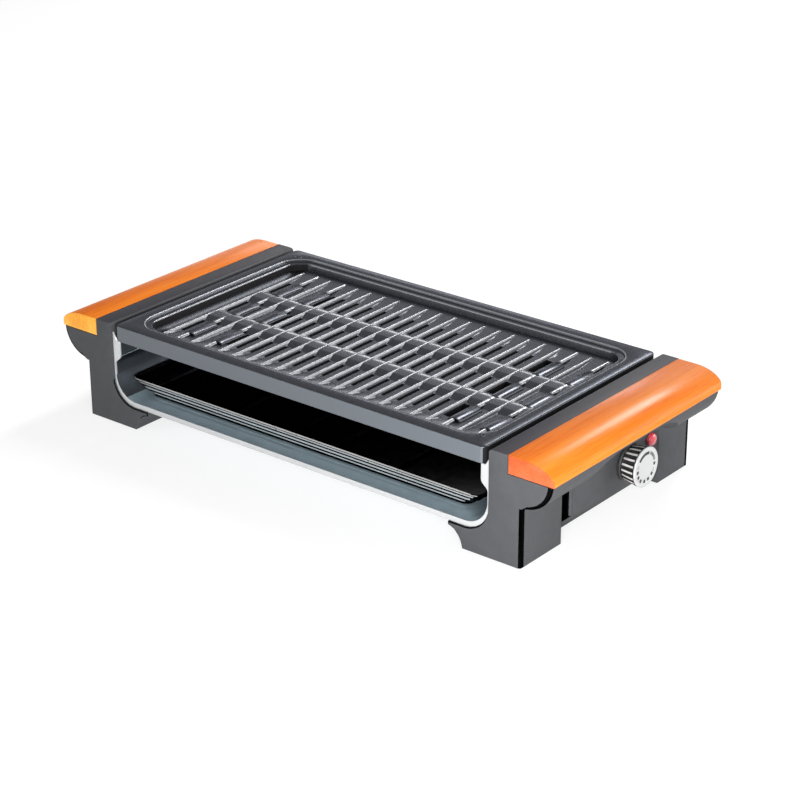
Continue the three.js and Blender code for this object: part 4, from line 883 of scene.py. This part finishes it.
def cut_strips(form, side):
    """Cuts the faces of the legs where the painted dark strips end."""
    bm = bmesh.new()
    bm.from_mesh(form.data)
    for place, along in (((side * (LEG_OUTER - STRIP), 0, 0), (1, 0, 0)), ((0, STRIP_Y, 0), (0, 1, 0)),
                         ((0, -STRIP_Y, 0), (0, 1, 0))):
        low = [face for face in bm.faces if face.calc_center_median().z < LEG_TOP * MM]
        picked = set(low)
        edges = [edge for edge in bm.edges if picked.intersection(edge.link_faces)]
        verts = [vert for vert in bm.verts if picked.intersection(vert.link_faces)]
        bmesh.ops.bisect_plane(bm, geom=low + edges + verts, dist=0.001 * MM,
                               plane_co=[c * MM for c in place], plane_no=along)
    bm.to_mesh(form.data)
    bm.free()


for name, side in (("right_housing", 1), ("left_housing", -1)):
    form = softened(name, 0.5, band=edge_band)
    cut_strips(form, side)
    stand_in(form, name, "base", MATERIALS["housing"], PAINTED_DARK, TOPS_SHADED, HIGHLIGHT_GREY)
    for polygon in form.data.polygons:
        x, y, z = polygon.center / MM
        if is_painted_dark(x, y, z, polygon.normal):
            polygon.material_index = PAINTED_DARK_EDGE
        # Painted shade: the top faces take the darker copy.
        elif polygon.normal.z > 0.9 and z > 80 and polygon.material_index == PLASTIC:
            polygon.material_index = SHADED_TOP_FACE
    form.data.set_sharp_from_angle(angle=SHARP_ANGLE)

for name in ("right_handle", "left_handle"):
    form = softened(name, 0.9, segments=3)
    stand_in(form, name, "base", WOODS[name], WOOD_ENDS[name])
    for polygon in form.data.polygons:
        if abs(polygon.normal.y) > 0.6:
            polygon.material_index = 1

LIP_Y = 116.8
pan = softened("reflector_pan", 0.2)
stand_in(pan, "reflector_pan", "base", MATERIALS["galvanised_sheet"], LIP_SHEEN, TARNISH_AND_SHADE)
for polygon in pan.data.polygons:
    x, y, z = polygon.center / MM
    # Painted reflection: the front lip and the rear end lips take the near-white.
    if y < -LIP_Y or y > LIP_Y and abs(x) > 190:
        polygon.material_index = 1
    # Painted shade: the inner faces of the pan's end walls take the dark sheet.
    elif abs(polygon.normal.x) > 0.5 and abs(x) > 150 and x * polygon.normal.x < 0:
        polygon.material_index = 2

for name in ("left_heat_shield", "right_heat_shield"):
    dress(nodes[name], TARNISH_AND_SHADE)

for name in ("knob_bezel", "indicator_lens", "right_bottom_cover", "left_bottom_cover", "cord_gland"):
    smooth(nodes[name], 40)


# ---------------------------------------------------------------- the knob

KNOB_Y, KNOB_Z = 29.0, 37.0
KNOB_BACK = 238.2
KNOB_FRONT = 251.0
FLUTES = 20


def around(x, radius, angle):
    """A point of a circle about the knob's axis."""
    return (x, KNOB_Y + radius * math.cos(angle), KNOB_Z + radius * math.sin(angle))


def knob_form():
    """The skirt with its deep flutes and narrow ridges."""
    per = 12
    count = FLUTES * per
    rings = []
    stations = ((0.0, 14.0, 0.0), (0.15, 14.9, 0.5), (0.6, 15.4, 1.2), (4.0, 16.0, 1.5), (8.0, 16.6, 1.6),
                (11.4, 17.1, 1.6), (12.0, 17.2, 1.5), (12.3, 17.3, 0.3), (12.7, 17.2, 0.0), (12.8, 17.0, 0.0),
                (12.8, 4.0, 0.0))
    for along, radius, depth in stations:   # the way from the back, the ridges' radius, the flutes' depth
        one = []
        for i in range(count):
            phase = (i % per) / per
            dip = ease((abs(phase - 0.5) - 0.20) / 0.10)
            one.append(around(KNOB_BACK + along, radius - depth * (1 - dip), 2 * math.pi * (i + 0.5) / count))
        rings.append(one)
    points, faces = skin(rings)
    faces.append(tuple(range(count)))
    faces.append(tuple(range(len(points) - count, len(points))))
    return points, faces


def disc(x0, x1, radius, sides=96, corner=0.75):
    """The face: a rounded ring that stands a little over the middle."""
    stations = ((x0, radius - 0.4), (x0 + 0.25, radius), (x1 - corner, radius),
                (x1 - corner * 0.62, radius - corner * 0.08), (x1 - corner * 0.29, radius - corner * 0.29),
                (x1 - corner * 0.08, radius - corner * 0.62), (x1, radius - corner), (x1, radius - 3.2),
                (x1 - 0.12, radius - 3.5), (x1 - 0.3, radius - 3.7), (x1 - 0.35, radius - 4.0),
                (x1 - 0.35, 1.0))
    rings = [[around(x, r, 2 * math.pi * i / sides) for i in range(sides)] for x, r in stations]
    points, faces = skin(rings)
    faces.append(tuple(range(sides)))
    faces.append(tuple(range(len(points) - sides, len(points))))
    return points, faces


def arc_mark(r0, r1, a0, a1, x, lift=0.12, steps=24):
    """A printed mark between two radii and two angles in degrees, a little raised."""
    a0, a1 = math.radians(a0), math.radians(a1)
    points, faces = [], []
    for i in range(steps + 1):
        a = a0 + (a1 - a0) * i / steps
        points += [around(x - lift, r0, a), around(x - lift, r1, a),
                   around(x + lift, r1, a), around(x + lift, r0, a)]
    for i in range(steps):
        for j in range(4):
            faces.append((i * 4 + j, i * 4 + (j + 1) % 4, (i + 1) * 4 + (j + 1) % 4, (i + 1) * 4 + j))
    faces.append((0, 1, 2, 3))
    last = steps * 4
    faces.append((last + 3, last + 2, last + 1, last))
    return points, faces


knob = combined("control_knob_form", knob_form())
merged(knob)
smooth(knob, 40)
stand_in(knob, "control_knob", "knob", MATERIALS["knob"], RIDGES)
for polygon in knob.data.polygons:
    x, y, z = polygon.center / MM
    along = x - KNOB_BACK
    ridge = 15.4 + 0.155 * along
    if 0.3 < along < 12.2 and math.hypot(y - KNOB_Y, z - KNOB_Z) > ridge - 0.35:
        polygon.material_index = 1

dial = combined("knob_dial_form", disc(KNOB_FRONT + 0.3, KNOB_FRONT + 1.8, 17.4))
merged(dial)
smooth(dial, 30)
stand_in(dial, "knob_dial", "knob")

FACE = KNOB_FRONT + 1.45
DOTS = (-3.5, -45, -73, -99, -128, -153, -176)
PALE_DOTS = (-28, 163)
marks = [arc_mark(10.9, 13.5, 72, 141, FACE)]
marks += [arc_mark(10.9, 13.5, a, a + 3.2, FACE, steps=3) for a in range(12, 62, 6)]
marks += [arc_mark(10.8, 13.5, a - 6.2, a + 6.2, FACE, steps=6) for a in DOTS]
pale = [arc_mark(11.2, 13.3, a - 7.5, a + 7.5, FACE, steps=6) for a in PALE_DOTS]
for name, forms, material in (("dial_marks", marks, MARKS), ("dial_marks_pale", pale, PALE_MARKS)):
    printed = combined(name, *forms)
    merged(printed)
    dress(printed, material)
    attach(printed, "knob")


# ---------------------------------------------------------------- floor, light and camera

def background_rays(tree):
    """1 for rays that see the background: from the camera, in gloss and through glass."""
    path = tree.nodes.new("ShaderNodeLightPath")
    found = path.outputs["Is Camera Ray"]
    for kind in ("Is Glossy Ray", "Is Transmission Ray"):
        both = tree.nodes.new("ShaderNodeMath")
        both.operation = "MAXIMUM"
        tree.links.new(found, both.inputs[0])
        tree.links.new(path.outputs[kind], both.inputs[1])
        found = both.outputs[0]
    return found


FLOOR_COLOR = (0.80, 0.80, 0.80, 1.0)
FLOOR_SEEN = (0.31, 0.31, 0.31, 1.0)
FLOOR_GLOW = 0.77
FLOOR_HALF = 6
WORLD_LEVEL = 0.22


def make_floor():
    """Seen directly the floor is mostly its own pale glow, and the rest of it takes the shadow."""
    m = Maker("studio_floor", FLOOR_COLOR, roughness=0.9, specular=0.0)
    seen = background_rays(m.tree)
    m.color(m.mix(seen, FLOOR_COLOR, FLOOR_SEEN))
    glow = m.node("ShaderNodeEmission")
    glow.inputs["Color"].default_value = (1, 1, 1, 1)
    m.link(m.remap(seen, 0, 1, 0.0, FLOOR_GLOW), glow.inputs["Strength"])
    add = m.node("ShaderNodeAddShader")
    m.link(m.bsdf.outputs[0], add.inputs[0])
    m.link(glow.outputs[0], add.inputs[1])
    m.link(add.outputs[0], m.tree.nodes["Material Output"].inputs["Surface"])
    return m.mat


corners = [(x * FLOOR_HALF, y * FLOOR_HALF, -0.0002) for x, y in ((-1, -1), (1, -1), (1, 1), (-1, 1))]
floor = new_object("studio_floor", corners, [(0, 1, 2, 3)], scale=1.0)
dress(floor, make_floor())

world = bpy.data.worlds.new("studio")
bpy.context.scene.world = world
world.use_nodes = True
background = world.node_tree.nodes["Background"]
background.inputs["Color"].default_value = (1.0, 1.0, 1.0, 1.0)
level = world.node_tree.nodes.new("ShaderNodeMapRange")
level.inputs["To Min"].default_value = WORLD_LEVEL
level.inputs["To Max"].default_value = 1.0
world.node_tree.links.new(background_rays(world.node_tree), level.inputs["Value"])
world.node_tree.links.new(level.outputs["Result"], background.inputs["Strength"])


# Name, place, what it faces, width, height, watts. The rear lamp draws the lines on the ribs, over their
# painted sheen.
LAMPS = (
    ("key", (0.64, -0.70, 0.20), (0.18, -0.05, 0.03), 0.5, 0.26, 11.3),
    ("rear", (-0.20, 1.37, 1.35), (0, 0, 0.08), 0.34, 1.05, 27),
    ("rear_right", (1.17, 1.22, 0.50), (0, 0, 0.08), 0.85, 0.9, 13),
    ("rear_left", (-1.05, 1.50, 0.36), (0, 0, 0.08), 0.55, 0.20, 1.2),
    ("front_left", (-1.1, -1.5, 0.8), (0, 0, 0.05), 0.9, 0.9, 7),
)
for name, place, target, width, height, watts in LAMPS:
    light = bpy.data.lights.new(name, "AREA")
    light.shape = "RECTANGLE"
    light.size = width
    light.size_y = height
    light.energy = watts
    lamp = bpy.data.objects.new(name, light)
    bpy.context.scene.collection.objects.link(lamp)
    lamp.location = place
    lamp.rotation_euler = (Vector(target) - Vector(place)).to_track_quat("-Z", "Y").to_euler()
    lamp.visible_camera = False


def camera():
    """The camera as solved from the photograph's straight edges."""
    yaw, pitch, roll = math.radians(38.94), math.radians(24.03), math.radians(-0.22)
    ca, sa, ce, se = math.cos(yaw), math.sin(yaw), math.cos(pitch), math.sin(pitch)
    forward = Vector((-sa * ce, ca * ce, -se))
    right = Vector((ca, sa, 0))
    up = right.cross(forward)
    c, s = math.cos(roll), math.sin(roll)
    right2 = c * right + s * up
    up2 = -s * right + c * up
    data = bpy.data.cameras.new("camera")
    data.lens = 36 * 2297.9 / 800
    data.sensor_width = 36
    data.clip_end = 50
    obj = bpy.data.objects.new("camera", data)
    bpy.context.scene.collection.objects.link(obj)
    turn = Matrix((right2, up2, -forward)).transposed().to_4x4()
    place = Vector((-39.2, 73.9, 0.0)) * MM - forward * 2070.9 * MM
    obj.matrix_world = Matrix.Translation(place) @ turn
    bpy.context.scene.camera = obj


camera()
bpy.context.scene.view_settings.view_transform = "Standard"
